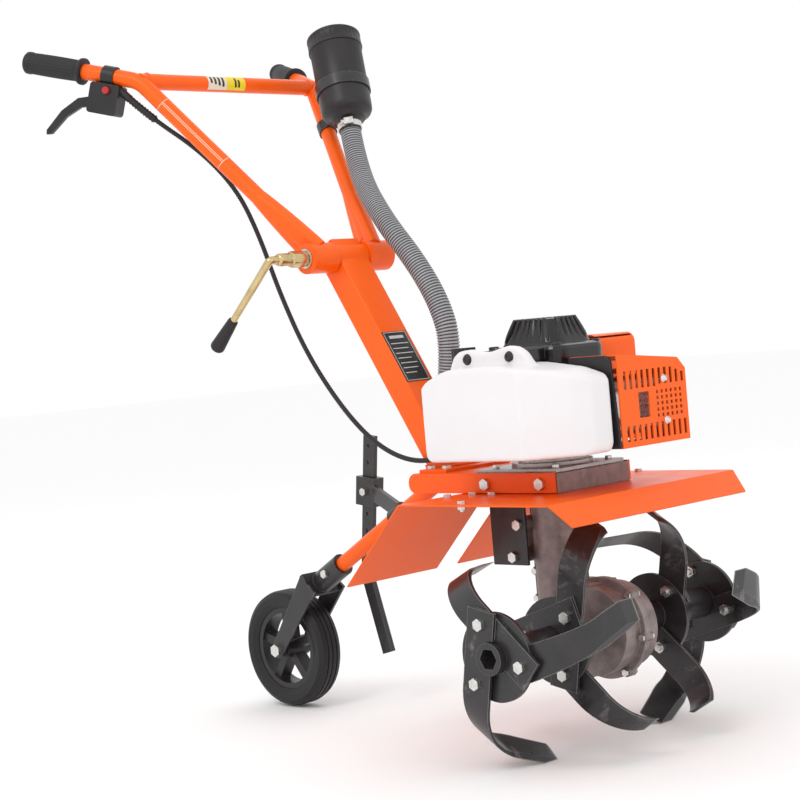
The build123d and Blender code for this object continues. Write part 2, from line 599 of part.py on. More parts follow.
P["holder_bolt"] = group([
    bolt((pinch[0], -7.0, pinch[1]), (0, 1, 0), 3.0, 22.0, 10.0, 4.5),
    nut((pinch[0], 7.0, pinch[1]), (0, 1, 0), 3.05, 10.0, 5.0),
])

# ---------------- handlebar ----------------
px, pz = PIVOT[0], PIVOT[2]


def arm(s):
    start = Vector(px - 14, s * (ARM_Y0 + 6), pz + 20)
    pts = [start, (BEND_1[0], s * BEND_1[1], BEND_1[2]), (BEND_2[0], s * BEND_2[1], BEND_2[2])]
    pts.append((ARM_END[0], s * ARM_END[1], ARM_END[2]))
    a = swept(pts, 45.0, ARM_R, ARM_R - 2.0)
    y0, y1 = sorted((s * 29.0, s * 73.0))
    a += y_rod(px, pz, y0, y1, 20.5)
    u = unit(start, (BEND_1[0], s * BEND_1[1], BEND_1[2]))
    web_low = Plane(origin=start - u * 16, z_dir=u, x_dir=(0, 1, 0)) * RectangleRounded(19.0, 40.0, 8.0)
    web_mid = Plane(origin=start + u * 30, z_dir=u, x_dir=(0, 1, 0)) * RectangleRounded(20.0, 34.0, 8.0)
    web_top = Plane(origin=start + u * 92, z_dir=u, x_dir=(0, 1, 0)) * RectangleRounded(22.4, 22.4, 10.8)
    a += loft([web_low, web_mid, web_top])
    a -= y_rod(px, pz, -90, 90, 6.25)
    return a.solid()


P["handlebar_arm_right"] = arm(-1)
P["handlebar_arm_left"] = arm(1)
cb = rod((BEND_1[0], -BEND_1[1], BEND_1[2]), (BEND_1[0], BEND_1[1], BEND_1[2]), ARM_R)
for s in (-1, 1):
    pts = [(px - 14, s * (ARM_Y0 + 6), pz + 20), (BEND_1[0], s * BEND_1[1], BEND_1[2])]
    pts += [(BEND_2[0], s * BEND_2[1], BEND_2[2]), (ARM_END[0], s * ARM_END[1], ARM_END[2])]
    cb -= swept(pts, 45.0, ARM_R + 0.02)
P["crossbar"] = cb.solids().sort_by(SortBy.VOLUME)[-1]
grips = []
for s in (-1, 1):
    e = Vector(ARM_END[0], s * ARM_END[1], ARM_END[2])
    u = unit((BEND_2[0], s * BEND_2[1], BEND_2[2]), e)
    g = rod(e - u * (GRIP_L - 6), e + u * 6, GRIP_R) - rod(e - u * GRIP_L, e, ARM_R + 0.03)
    g += pipe(e - u * (GRIP_L - 6), e - u * (GRIP_L - 11), GRIP_R + 3, ARM_R + 0.03)
    grips.append(g)
P["grips"] = group(grips)

P["hinge_bolt"] = group([
    rod((px, -92, pz), (px, 73.5, pz), 6.0),
    nut((px, 74.6, pz), (0, 1, 0), 6.0, 19.0, 9.0) + rod((px, 73.5, pz), (px, 88, pz), 6.0),
])
P["hinge_washers"] = group([
    ring_y(px, pz, -75.6, -73.1, 13.0, 6.3),
    ring_y(px, pz, 73.1, 74.6, 13.0, 6.3),
    ring_y(px, pz, 28.05, 28.95, 16.0, 6.3),
    ring_y(px, pz, -28.95, -28.05, 16.0, 6.3),
])
# clamp lever: sleeve nut with a cranked rod and a tapered grip
LV = unit((0, 0, 0), (-0.751, 0, -0.66))
sleeve = rod((px, -138, pz), (px, -75.8, pz), 10.5)
sleeve -= rod((px, -94, pz), (px, -70, pz), 6.05)
lever_top = Vector(px, -130, pz)
sleeve += rod(lever_top, lever_top + LV * 136, 4.3)
P["clamp_lever"] = sleeve.solid()
gripper = cone(lever_top + LV * 112, lever_top + LV * 164, 6.0, 10.0)
gripper -= rod(lever_top + LV * 100, lever_top + LV * 136.1, 4.32)
P["clamp_grip"] = gripper.solid()

# air cleaner canister in front of the left arm
ua = unit((px - 14, ARM_Y0 + 6, pz + 20), BEND_1)
hose_top = Vector(*HOSE[0])
uc = unit(HOSE[1], HOSE[0])
can_b = hose_top + uc * 26.0
can_t = can_b + uc * CAN_L
can = rod(can_b, can_t, CAN_R) - rod(can_b + uc * 3, can_t + uc * 1, CAN_R - 2.5)
can += pipe(can_b - uc * 10, can_b + uc * 1, 24.0, 12.0)
can += pipe(hose_top, can_b - uc * 9, 16.0, 13.0)
can -= rod(hose_top - uc * 4, can_b + uc * 8, 13.0)
P["cleaner_body"] = can.solid()
lid = rod(can_t + uc * 0.1, can_t + uc * 14, CAN_R + 2.0)
lid -= rod(can_t - uc * 1, can_t + uc * 10, CAN_R - 2)
lid += pipe(can_t - uc * 8, can_t + uc * 0.1, CAN_R + 2.0, CAN_R + 0.1)
P["cleaner_lid"] = lid.solid()
P["cleaner_element"] = pipe(can_b + uc * 3.1, can_t - uc * 2, 27.0, 17.0).solid()
strap_mid = can_b + uc * 42.0
arm_foot = Vector(px - 14, ARM_Y0 + 6, pz + 20)
arm_mid = arm_foot + ua * (strap_mid - arm_foot).dot(ua)
tie = (strap_mid - arm_mid).normalized()
br = pipe(strap_mid - uc * 8, strap_mid + uc * 8, CAN_R + 2.2, CAN_R + 0.05)
br += pipe(arm_mid - ua * 9, arm_mid + ua * 9, ARM_R + 2.4, ARM_R + 0.05)
tie_plane = Plane(origin=arm_mid, z_dir=tie, x_dir=ua)
br += extrude(tie_plane * Rectangle(14.0, 12.0), (strap_mid - arm_mid).length)
br -= rod(strap_mid - uc * 60, strap_mid + uc * 60, CAN_R + 0.05)
br -= rod(arm_mid - ua * 20, arm_mid + ua * 20, ARM_R + 0.05)
P["cleaner_bracket"] = br.solids().sort_by(SortBy.VOLUME)[-1]

# throttle control under the right arm
u2 = unit((BEND_1[0], -BEND_1[1], BEND_1[2]), (BEND_2[0], -BEND_2[1], BEND_2[2]))
u3 = unit((BEND_2[0], -BEND_2[1], BEND_2[2]), (ARM_END[0], -ARM_END[1], ARM_END[2]))
th = Vector(BEND_1[0], -BEND_1[1], BEND_1[2]) + u2 * 44
down = Vector(0, 0, -1)
down = (down - u2 * down.dot(u2)).normalized()
th_plane = Plane(origin=th + down * 32, z_dir=down.cross(u2), x_dir=u2)
box = extrude(th_plane * RectangleRounded(44.0, 42.0, 5.0), 13.0, both=True)
box += rod(th - u2 * 9, th + u2 * 9, ARM_R + 2.8)
box -= rod(th - u2 * 40, th + u2 * 40, ARM_R + 0.05)
bend_2 = Vector(BEND_2[0], -BEND_2[1], BEND_2[2])
box -= rod(bend_2 - u3 * 6, bend_2 + u3 * 40, ARM_R + 0.4)
slot_at = th + down * 40
slot_plane = Plane(origin=slot_at + u2 * 20, z_dir=down.cross(u2), x_dir=u2)
box -= extrude(slot_plane * Rectangle(50.0, 34.0), 4.0, both=True)
cable_in = Vector(*CABLE[0])
cable_way = unit(CABLE[1], CABLE[0])
lever_slot = extrude(slot_plane * Rectangle(50.0, 34.0), 4.0, both=True)
box += pipe(cable_in, cable_in + cable_way * 22, 5.5, 2.0) - lever_slot
TL_AXIS = down.cross(u2)
lp = th + down * 38 + u2 * 12
box += rod(lp - TL_AXIS * 12.5, lp + TL_AXIS * 12.5, 2.0)
sw_c = th + down * 20 - u2 * 4
sw_a = sw_c - TL_AXIS * 20
box -= rod(sw_a, sw_c - TL_AXIS * 5, 5.2)
P["throttle_housing"] = box.solid()
lev_plane = Plane(origin=lp, z_dir=TL_AXIS, x_dir=u2)
pts = [(-8.0, -4.0), (-6.0, 6.5), (10.0, 7.0), (30.0, 1.0), (52.0, -20.0), (70.0, -50.0),
       (69.0, -56.0), (62.0, -54.0), (44.0, -28.0), (24.0, -11.0), (8.0, -7.0)]
lever = extrude(lev_plane * make_face(Polyline(*pts, close=True)), 3.4, both=True)
lever -= rod(lp - TL_AXIS * 20, lp + TL_AXIS * 20, 2.1)
P["throttle_lever"] = lever.solid()
P["stop_switch"] = rod(sw_c - TL_AXIS * 17.5, sw_c - TL_AXIS * 9, 5.0).solid()

# ---------------- engine: vertical crank, cylinder to the left, exhaust in front ----------------
cx = CRANK_X
skid = block(-140, -12, -64, 64, 198.2, 203.0)
skid -= rod((cx, 0, 190), (cx, 0, 210), 29.0)
for x, y in hole_top:
    skid -= rod((x, y, 190), (x, y, 210), 2.6)
for x in (-106, -38):
    for y in (-34, 34):
        skid -= rod((x, y, 190), (x, y, 210), 2.6)
P["engine_plate"] = skid.solid()
bolts = []
for x, y in hole_top:
    bolts.append(bolt((x, y, 203.0), (0, 0, -1), 2.5, 15.0, 8.0, 4.0))
P["plate_bolts"] = group(bolts)
hous = rod((cx, 0, 203.1), (cx, 0, 208), 50.0) + rod((cx, 0, 208), (cx, 0, 226), 42.0)
hous -= rod((cx, 0, 200), (cx, 0, 222), 37.0)
hous -= rod((cx, 0, 200), (cx, 0, 230), 16.0)
for x in (-106, -38):
    for y in (-34, 34):
        hous -= rod((x, y, 200), (x, y, 209), 2.0)
hous = hous.solid()
P["clutch_housing"] = hous
drum = rod((cx, 0, 203.2), (cx, 0, 205.6), 34.0)
drum += pipe((cx, 0, 205.6), (cx, 0, 219.0), 34.0, 31.0)
P["worm_shaft"] = (P["worm_shaft"] - rod((cx, 0, 202), (cx, 0, 210), 9)).solid()
drum += rod((cx, 0, 199.0), (cx, 0, 203.2), 15.0)
drum -= rod((cx, 0, 190), (cx, 0, 202.0), 8.02)
P["clutch_drum"] = drum.solid()
shoes = []
for s in (-1, 1):
    sh = pipe((cx, 0, 207.0), (cx, 0, 218.0), 30.0, 17.0)
    sh = sh & block(cx - 40, cx + 40, s * 20.5 - 18.5, s * 20.5 + 18.5, 200, 230)
    shoes.append(sh)
hub_c = rod((cx, 0, 207.0), (cx, 0, 213.0), 14.0)
hub_c += block(cx - 22, cx + 22, -1.9, 1.9, 207, 213)
hub_c -= rod((cx, 0, 200), (cx, 0, 220), 7.03)
P["clutch_shoes"] = group(shoes)
P["clutch_carrier"] = hub_c.solid()

crankc = block(cx - 38, cx + 38, -40, 37.8, 226.1, 302, 10)
crankc += block(cx - 46, cx + 40, 26, 37.8, 228, 300)
crankc -= rod((cx, 0, 240), (cx, 0, 289), 29.0)
crankc -= rod((cx, 0, 220), (cx, 0, 310), 8.0)
crankc -= y_rod(cx, CYL_Z, 0, 60, PISTON_R + 3.2)
crankc -= rod((cx, 0, 226), (cx, 0, 236), 14.0)
crankc -= rod((cx, 0, 293), (cx, 0, 303), 14.0)
P["crankcase"] = crankc.solid()
P["crank_bearings"] = group([
    pipe((cx, 0, 227.0), (cx, 0, 235.8), 13.97, 7.03),
    pipe((cx, 0, 293.2), (cx, 0, 301.8), 13.97, 7.03),
])
THROW = STROKE / 2
crank = rod((cx, 0, 205.9 + 1), (cx, 0, CYL_Z - 8), 7.0)
crank += rod((cx, 0, CYL_Z + 8), (cx, 0, 350), 7.0)
crank += rod((cx, 0, CYL_Z - 14), (cx, 0, CYL_Z - 5.5), 27.0)
crank += rod((cx, 0, CYL_Z + 5.5), (cx, 0, CYL_Z + 14), 27.0)
crank += rod((cx, THROW, CYL_Z - 8), (cx, THROW, CYL_Z + 8), 5.0)
P["crankshaft"] = crank.solid()
PIN_Y = THROW + 52.0
ROD_END = THROW + 5.0 + 0.6 + STROKE    # the rod stops clear of the crank pin's circle
conrod = rod((cx, PIN_Y, CYL_Z - 5), (cx, PIN_Y, CYL_Z + 5), 7.0)
conrod += block(cx - 3.5, cx + 3.5, ROD_END, PIN_Y, CYL_Z - 3, CYL_Z + 3)
conrod -= rod((cx, PIN_Y, CYL_Z - 10), (cx, PIN_Y, CYL_Z + 10), 4.02)
P["connecting_rod"] = conrod.solid()
piston = y_rod(cx, CYL_Z, PIN_Y - 9, PIN_Y + 15, PISTON_R - 0.06)
piston -= y_rod(cx, CYL_Z, PIN_Y - 14, PIN_Y + 11, PISTON_R - 3)
piston += rod((cx, PIN_Y, CYL_Z - 19), (cx, PIN_Y, CYL_Z - 6), 6.5)
piston += rod((cx, PIN_Y, CYL_Z + 6), (cx, PIN_Y, CYL_Z + 19), 6.5)
piston &= y_rod(cx, CYL_Z, PIN_Y - 20, PIN_Y + 20, PISTON_R - 0.06)
piston -= rod((cx, PIN_Y, CYL_Z - 30), (cx, PIN_Y, CYL_Z + 30), 4.02)
P["piston"] = piston.solid()
P["piston_pin"] = rod((cx, PIN_Y, CYL_Z - 17), (cx, PIN_Y, CYL_Z + 17), 4.0).solid()
CYL0, CYL1 = 38.0, 104.0
cyl = y_rod(cx, CYL_Z, CYL0 - 8, CYL1, PISTON_R + 3)
cyl += block(cx - 32, cx + 32, CYL0, CYL0 + 6, CYL_Z - 32, CYL_Z + 32)
for k in range(7):
    y = 52 + 7.2 * k
    cyl += block(cx - 33, cx + 33, y, y + 2.2, CYL_Z - 33, CYL_Z + 33)
cyl += block(cx + 10, cx + 38, 58, 88, CYL_Z - 14, CYL_Z + 14)
cyl += block(cx - 40, cx - 10, 50, 76, CYL_Z - 13, CYL_Z + 13)
cyl -= y_rod(cx, CYL_Z, 0, PIN_Y + 19, PISTON_R)
cyl -= rod((cx + 15, 73, CYL_Z), (cx + 50, 73, CYL_Z), 9.0)
cyl -= rod((cx - 50, 63, CYL_Z), (cx - 15, 63, CYL_Z), 9.0)
cyl -= y_rod(cx, CYL_Z, 60, 120, 7.05)
P["cylinder"] = cyl.solid()
plug = y_rod(cx, CYL_Z, 90, CYL1 + 0.1, 7.0) + y_rod(cx, CYL_Z, CYL1 + 0.1, CYL1 + 6, 9.5)
plug += y_rod(cx, CYL_Z, CYL1 + 6, CYL1 + 12, 5.0)
P["spark_plug"] = plug.solid()
boot = y_rod(cx, CYL_Z, CYL1 + 6.1, CYL1 + 27, 8.5) - y_rod(cx, CYL_Z, CYL1 + 6, CYL1 + 14, 5.05)
P["plug_boot"] = boot.solid()

fly = rod((cx, 0, 306), (cx, 0, 314), 44.0)
for k in range(12):
    a = math.radians(30 * k)
    fin = Pos(cx, 0, 0) * Rot(0, 0, 30 * k) * (Pos(34, 0, 319) * Box(18, 2.4, 12))
    fly += fin
fly += rod((cx, 0, 306), (cx, 0, 326), 14.0)
fly -= rod((cx, 0, 300), (cx, 0, 330), 7.03)
P["flywheel"] = fly.solid()

# starter and fan cover
sc_x = cx + 4
cov = rod((sc_x, 3, 306.5), (sc_x, 3, 350), 56.0)
cov += block(sc_x - 62, sc_x + 62, -50, 46, 326, 350, 20)
cov += Pos(sc_x, 3, 350) * extrude(RectangleRounded(108, 92, 24), 26.0, taper=24)
cov -= rod((sc_x, 3, 303), (sc_x, 3, 346), 52.0)
cov -= Pos(sc_x, 3, 346) * extrude(RectangleRounded(98, 82, 20), 26.5, taper=24)
cov += rod((cx, 0, 352), (cx, 0, 377), 5.0) & block(-200, 100, -100, 100, 340, 375.5)
for i in range(-3, 4):
    cov -= block(sc_x + i * 13 - 2.6, sc_x + i * 13 + 2.6, -60, -30, 354, 371)
for x in (-101.0, -34.0):
    cov += block(x - 7, x + 7, -91.8, -46, 332, 348)
    cov -= y_rod(x, 340, -100, -70, 2.6)
P["starter_cover"] = cov.solids().sort_by(SortBy.VOLUME)[-1]
pulley = pipe((cx, 0, 353), (cx, 0, 364), 24.0, 5.06)
pulley -= pipe((cx, 0, 356), (cx, 0, 361), 30.0, 20.0)
P["starter_pulley"] = pulley.solid()

# fuel tank on the right
X0, X1, Y0, Y1, Z0, Z1 = TANK


def tank_shape(o, zlo, zhi):
    pts = [
        (X0 + o, Y1 - o), (X0 + o, Y0 + o), (14 - o / 2, Y0 + o),
        (X1 - o, -88 + o / 2), (X1 - o, Y1 - o),
    ]
    body = Pos(0, 0, zlo) * extrude(make_face(Polyline(*pts, close=True)), zhi - zlo)
    return fillet(body.edges().filter_by(Axis.Z), 14.0 - o)


tank = tank_shape(0, Z0, Z1)
slope = [(-40, Z1 + 2), (-20, Z1 + 2), (70, Z1 - 12), (70, Z1 + 30), (-40, Z1 + 30)]
top_cut = Plane.XZ * make_face(Polyline(*slope, close=True))
tank -= extrude(top_cut, 200, both=True)
tank = fillet(tank.edges().group_by(Axis.Z)[0], 6.0)
void = tank_shape(3, Z0 + 3, Z1 - 14)
tank -= void
CAP = (-136.0, -74.0)
tank += rod((CAP[0], CAP[1], Z1 - 2), (CAP[0], CAP[1], Z1 + 12), 11.0)
tank -= rod((CAP[0], CAP[1], Z1 - 20), (CAP[0], CAP[1], Z1 + 20), 8.5)
ears = [(-101.0, 340.0), (-34.0, 340.0)]
for x, z in ears:
    tank += y_rod(x, z, -104, -92, 12.0)
    tank += block(x - 16, x + 16, -104, -92, 322, 334)
    tank -= y_rod(x, z, -120, -80, 3.1)
P["fuel_tank"] = tank.solid()
capb = rod((CAP[0], CAP[1], Z1 + 4), (CAP[0], CAP[1], Z1 + 24), 15.0)
capb -= rod((CAP[0], CAP[1], Z1), (CAP[0], CAP[1], Z1 + 12.2), 11.3)
for k in range(16):
    a = math.radians(22.5 * k)
    c = (CAP[0] + 15.6 * math.cos(a), CAP[1] + 15.6 * math.sin(a))
    capb -= rod((c[0], c[1], Z1), (c[0], c[1], Z1 + 30), 1.5)
P["fuel_cap"] = capb.solid()
scr = []
for x, z in ears:
    scr.append(bolt((x, -104, z), (0, 1, 0), 2.5, 18.0, 9.0, 4.0))
P["tank_screws"] = group(scr)

# exhaust
muf = block(-30, 58, -36, 76, 236, 306, 0)
muf = fillet(muf.edges().filter_by(Axis.Y), 9.0)
muf -= block(-28, 56, -34, 74, 238, 304)
muf += rod((-34, 73, CYL_Z), (-28, 73, CYL_Z), 13.0)
muf -= rod((-36, 73, CYL_Z), (-20, 73, CYL_Z), 8.0)
muf -= y_rod(52, 250, 60, 90, 6.0)
P["muffler"] = muf.solid()
MX = 77.0
prof = [(-45.0, 223.0), (84.0, 223.0), (84.0, 308.0), (70.0, 322.0), (-45.0, 333.0)]
mc = Plane(origin=(8, 0, 0), x_dir=(0, 1, 0), z_dir=(1, 0, 0)) * make_face(Polyline(*prof, close=True))
mc = extrude(mc, MX - 8)
prof_in = [(-46.0, 225.0), (82.0, 225.0), (82.0, 307.0), (69.3, 320.0), (-46.0, 331.0)]
mi = Plane(origin=(6, 0, 0), x_dir=(0, 1, 0), z_dir=(1, 0, 0)) * make_face(Polyline(*prof_in, close=True))
mc -= extrude(mi, MX - 8)
for i in range(11):
    y = -36 + 11 * i
    top_z = 328 - (y + 45) * 0.075
    mc -= block(70, 85, y, y + 5, 291 if y < 20 else 293, min(top_z - 6, 312 - max(0, y - 50) * 0.3))
    mc -= block(70, 85, y, y + 5, 230, 248)
for j in range(5):
    for i in range(6):
        mc -= block(70, 85, 24 + 9 * i, 28 + 9 * i, 254 + 7 * j, 258 + 7 * j)
mc -= block(70, 85, -10, 10, 256, 286)
P["muffler_cover"] = mc.solids().sort_by(SortBy.VOLUME)[-1]
shield_outline = [(8, 223.5), (76, 223.5), (70, 326), (62, 332.5), (8, 332.5)]
shield = Plane.XZ * make_face(Polyline(*shield_outline, close=True))
P["muffler_shield"] = (Pos(0, -46.2, 0) * extrude(shield, 2.5)).solid()
cs = []
for y, z in ((40, 299), (41, 249)):
    s1 = rod((58.1, y, z), (74.9, y, z), 3.0)
    cs.append(s1)
P["cover_posts"] = group(cs)

# orange cylinder cover
cc = block(cx - 39.5, -25, 50, 122, 222, 356)
cc = fillet(cc.edges().filter_by(Axis.Y).sort_by(Axis.Z)[-2:], 12.0)
cc -= block(cx - 37, -27.5, 40, 119.5, 220, 353.5)
cc -= block(-45, -20, 40, 100, 200, 312)
cc -= block(-130, -100, 40, 84, 200, 300)
cc -= y_rod(cx, CYL_Z, 110, 130, 14.0)
for k in range(5):
    cc -= block(cx - 30 + 16 * k, cx - 22 + 16 * k, 118, 124, 300, 340)
P["cylinder_cover"] = cc.solids().sort_by(SortBy.VOLUME)[-1]

# intake: insulator, carburettor, elbow and hose
ins = block(-128, -112.2, 48, 78, 249, 279)
ins -= rod((-130, 63, CYL_Z), (-110, 63, CYL_Z), 9.0)
P["insulator"] = ins.solid()
carb = block(-164, -128.2, 44, 82, 246, 284)
carb -= rod((-170, 63, CYL_Z), (-120, 63, CYL_Z), 9.0)
carb += rod((-146, 63, 284), (-146, 63, 294), 9.0)
cable_out = Vector(*CABLE[-1])
cable_end = unit(CABLE[-2], CABLE[-1])
carb += rod(cable_out, cable_out + cable_end * 14, 5.5)
carb -= rod((-150, 30, 254), (-150, 49.5, 254), 8.4)
P["carburettor"] = carb.solid()
hose_end = Vector(*HOSE[-1])
hose_way = unit(HOSE[-2], HOSE[-1])
elbow_pts = [(-164.1, 63, CYL_Z), (-222, 63, CYL_Z), tuple(hose_end + hose_way * 27), tuple(hose_end)]
el = swept(elbow_pts, 16.0, 15.0, 12.0)
el += pipe((-168, 63, CYL_Z), (-164.1, 63, CYL_Z), 18.0, 12.0)
P["intake_elbow"] = el.solids().sort_by(SortBy.VOLUME)[-1]
pb = rod((-150, 45.5, 254), (-150, 40, 254), 8.0) + Pos(-150, 40, 254) * Sphere(7.0)
P["primer_bulb"] = (pb & block(-200, -100, 30, 45.5, 200, 300)).solid()
chk = rod((-158, 82.1, 276), (-158, 86, 276), 3.0)
chk += block(-161, -155, 86, 88.5, 258, 282)
P["choke_lever"] = chk.solid()

P["intake_hose"] = routed(HOSE, HOSE_R, "intake hose", HOSE_R - HOSE_WALL)
P["throttle_cable"] = routed(CABLE, CABLE_R, "throttle cable")

# ---------------- one node for each set of like pieces ----------------
SETS = {
    "tines_outer": ["tines_outer_right", "tines_outer_left"],
    "tines_inner": ["tines_inner_right", "tines_inner_left"],
    "tine_hubs": ["tine_hub_right", "tine_hub_left"],
    "tine_bolts": [
        "tine_bolts_outer_right", "tine_bolts_inner_right",
        "tine_bolts_outer_left", "tine_bolts_inner_left", "hub_pins",
    ],
    "bearings": ["axle_bearings", "axle_seals", "worm_bearing", "crank_bearings"],
    "frame_bolts": [
        "case_bolts", "fender_bolts", "bracket_bolts", "plate_bolts", "fork_bolt", "wheel_axle",
        "holder_bolt", "stake_screw", "tank_screws", "cover_posts",
    ],
    "hinge_bolt": ["hinge_bolt", "hinge_washers"],
    "clutch_shoes": ["clutch_shoes", "clutch_carrier"],
    "piston": ["piston", "piston_pin"],
    "spark_plug": ["spark_plug", "plug_boot"],
    "carburettor": ["carburettor", "insulator"],
}
for name, members in SETS.items():
    merged = group([P[m] for m in members])
    for m in members:
        del P[m]
    P[name] = merged

# ---------------- export: origin on the floor under the middle of the footprint ----------------
boxes = [s.bounding_box() for s in P.values()]
SHIFT_X = -(min(b.min.X for b in boxes) + max(b.max.X for b in boxes)) / 2
SHIFT_Y = -(min(b.min.Y for b in boxes) + max(b.max.Y for b in boxes)) / 2
SHIFT_Z = -min(b.min.Z for b in boxes)
os.makedirs("parts", exist_ok=True)
for name, shape in P.items():
    export_step(Pos(SHIFT_X, SHIFT_Y, SHIFT_Z) * shape, "parts/" + name + ".step")
print("nodes", len(P))
print("shift", SHIFT_X, SHIFT_Y, SHIFT_Z)
print("throttle pivot", tuple(lp), "axis", tuple(TL_AXIS))
print("stake way", tuple(sd), "grip way", tuple(unit(BEND_2, ARM_END)))
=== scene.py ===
import json
import math

import bmesh
import bpy
from mathutils import Matrix, Vector


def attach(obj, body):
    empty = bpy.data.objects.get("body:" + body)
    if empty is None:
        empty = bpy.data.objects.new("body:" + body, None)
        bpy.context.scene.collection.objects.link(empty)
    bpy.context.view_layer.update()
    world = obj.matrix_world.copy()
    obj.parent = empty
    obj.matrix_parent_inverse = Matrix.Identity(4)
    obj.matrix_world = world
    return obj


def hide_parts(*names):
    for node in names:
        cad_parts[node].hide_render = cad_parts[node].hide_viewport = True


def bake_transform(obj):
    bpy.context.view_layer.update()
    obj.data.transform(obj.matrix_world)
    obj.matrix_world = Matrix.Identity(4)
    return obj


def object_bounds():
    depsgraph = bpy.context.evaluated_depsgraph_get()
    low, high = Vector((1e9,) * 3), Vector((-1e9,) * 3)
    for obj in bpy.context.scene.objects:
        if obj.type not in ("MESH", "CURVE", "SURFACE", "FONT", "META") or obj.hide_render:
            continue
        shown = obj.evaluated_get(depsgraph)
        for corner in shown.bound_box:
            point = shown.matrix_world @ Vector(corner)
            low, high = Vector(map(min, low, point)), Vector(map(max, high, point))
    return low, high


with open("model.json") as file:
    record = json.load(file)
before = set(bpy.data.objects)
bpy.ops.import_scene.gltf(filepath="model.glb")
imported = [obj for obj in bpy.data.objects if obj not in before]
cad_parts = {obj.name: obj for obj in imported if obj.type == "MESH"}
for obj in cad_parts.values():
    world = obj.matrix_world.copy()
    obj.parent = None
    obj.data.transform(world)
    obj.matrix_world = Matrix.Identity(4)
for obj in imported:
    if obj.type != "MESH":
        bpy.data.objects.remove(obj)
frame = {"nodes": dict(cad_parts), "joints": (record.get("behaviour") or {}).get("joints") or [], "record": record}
NODES = frame["nodes"]
JOINTS = {j["name"]: j for j in frame["joints"]}
CAD_BOX = [[float(v) for v in corner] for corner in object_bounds()]

# Design coordinates are millimetres, with X and Z counted from a point close to the tine axle.
# The tine axle lies at (-8, 0, 3) there, so the rotor joint gives the origin in the row frame.
MM = 0.001
ORIGIN = Vector(JOINTS["rotor_spin"]["pos_m"]) - Vector((-8, 0, 3)) * MM


def at(x, y, z):
    """A point given in design millimetres, in the row frame."""
    return ORIGIN + Vector((x, y, z)) * MM


def link(name, data):
    """A new object in the scene."""
    obj = bpy.data.objects.new(name, data)
    bpy.context.scene.collection.objects.link(obj)
    return obj


# ---------------------------------------------------------------- camera
LENS, SENSOR = 85.8, 36.0
CAMERA_PLACE = (1457.2, -1778.4, 382.7)
CAMERA_RIGHT = (0.7056, 0.7033, -0.0865)
CAMERA_BACK = (0.7078, -0.7055, 0.0366)


def camera():
    """The photograph's viewpoint: from the front right, a little above the tank."""
    data = bpy.data.cameras.new("camera")
    data.lens, data.sensor_width = LENS, SENSOR
    data.clip_end = 50.0
    cam = link("camera", data)
    right, back = Vector(CAMERA_RIGHT).normalized(), Vector(CAMERA_BACK).normalized()
    up = back.cross(right).normalized()
    right = up.cross(back)
    turn = Matrix((right, up, back)).transposed()
    cam.matrix_world = Matrix.Translation(at(*CAMERA_PLACE)) @ turn.to_4x4()
    bpy.context.scene.camera = cam


camera()


# ---------------------------------------------------------------- materials
NOISE_LOW, NOISE_HIGH = 0.3, 0.7  # most of a noise's values lie between these
EDGE_FLAT, EDGE_SHARP = 0.985, 0.86  # cosine from a face to its rounded edge: no edge colour, full edge colour
BARE_METALLIC = 0.85
GRAIN_DEPTH = 0.0006  # metres
COAT_ROUGHNESS = 0.08
LEAST_ROUGH = 0.04


def node(tree, kind, **inputs):
    """A new shader node with those input values. An underscore in a name is a space."""
    n = tree.nodes.new(kind)
    for key, value in inputs.items():
        n.inputs[key.replace("_", " ")].default_value = value
    return n


def noise(tree, where, **settings):
    """A noise over those coordinates."""
    n = node(tree, "ShaderNodeTexNoise", **settings)
    tree.links.new(where, n.inputs["Vector"])
    return n.outputs["Fac"]


def ranged(tree, value, low, high, least=0.0, most=1.0):
    """The value, carried over from low..high to least..most and held inside them."""
    n = node(tree, "ShaderNodeMapRange", From_Min=low, From_Max=high, To_Min=least, To_Max=most)
    tree.links.new(value, n.inputs["Value"])
    return n.outputs["Result"]


def edge_wear_and_highlight(tree, rounded, amount):
    """A factor that climbs to amount where the rounded normal turns away from the face's own: the share of edge
    colour, which is wear on some finishes and a painted highlight on the orange paint.
    """
    dot = node(tree, "ShaderNodeVectorMath")
    dot.operation = "DOT_PRODUCT"
    tree.links.new(rounded, dot.inputs[0])
    tree.links.new(node(tree, "ShaderNodeNewGeometry").outputs["Normal"], dot.inputs[1])
    return ranged(tree, dot.outputs["Value"], EDGE_FLAT, EDGE_SHARP, most=amount)


def colour_over(tree, under, factor, colour):
    """Lays one flat colour over the colour so far, as much as factor says."""
    over = node(tree, "ShaderNodeMix")
    over.data_type = "RGBA"
    over.inputs["B"].default_value = (*colour, 1)
    tree.links.new(factor, over.inputs["Factor"])
    tree.links.new(under, over.inputs["A"])
    return over.outputs["Result"]


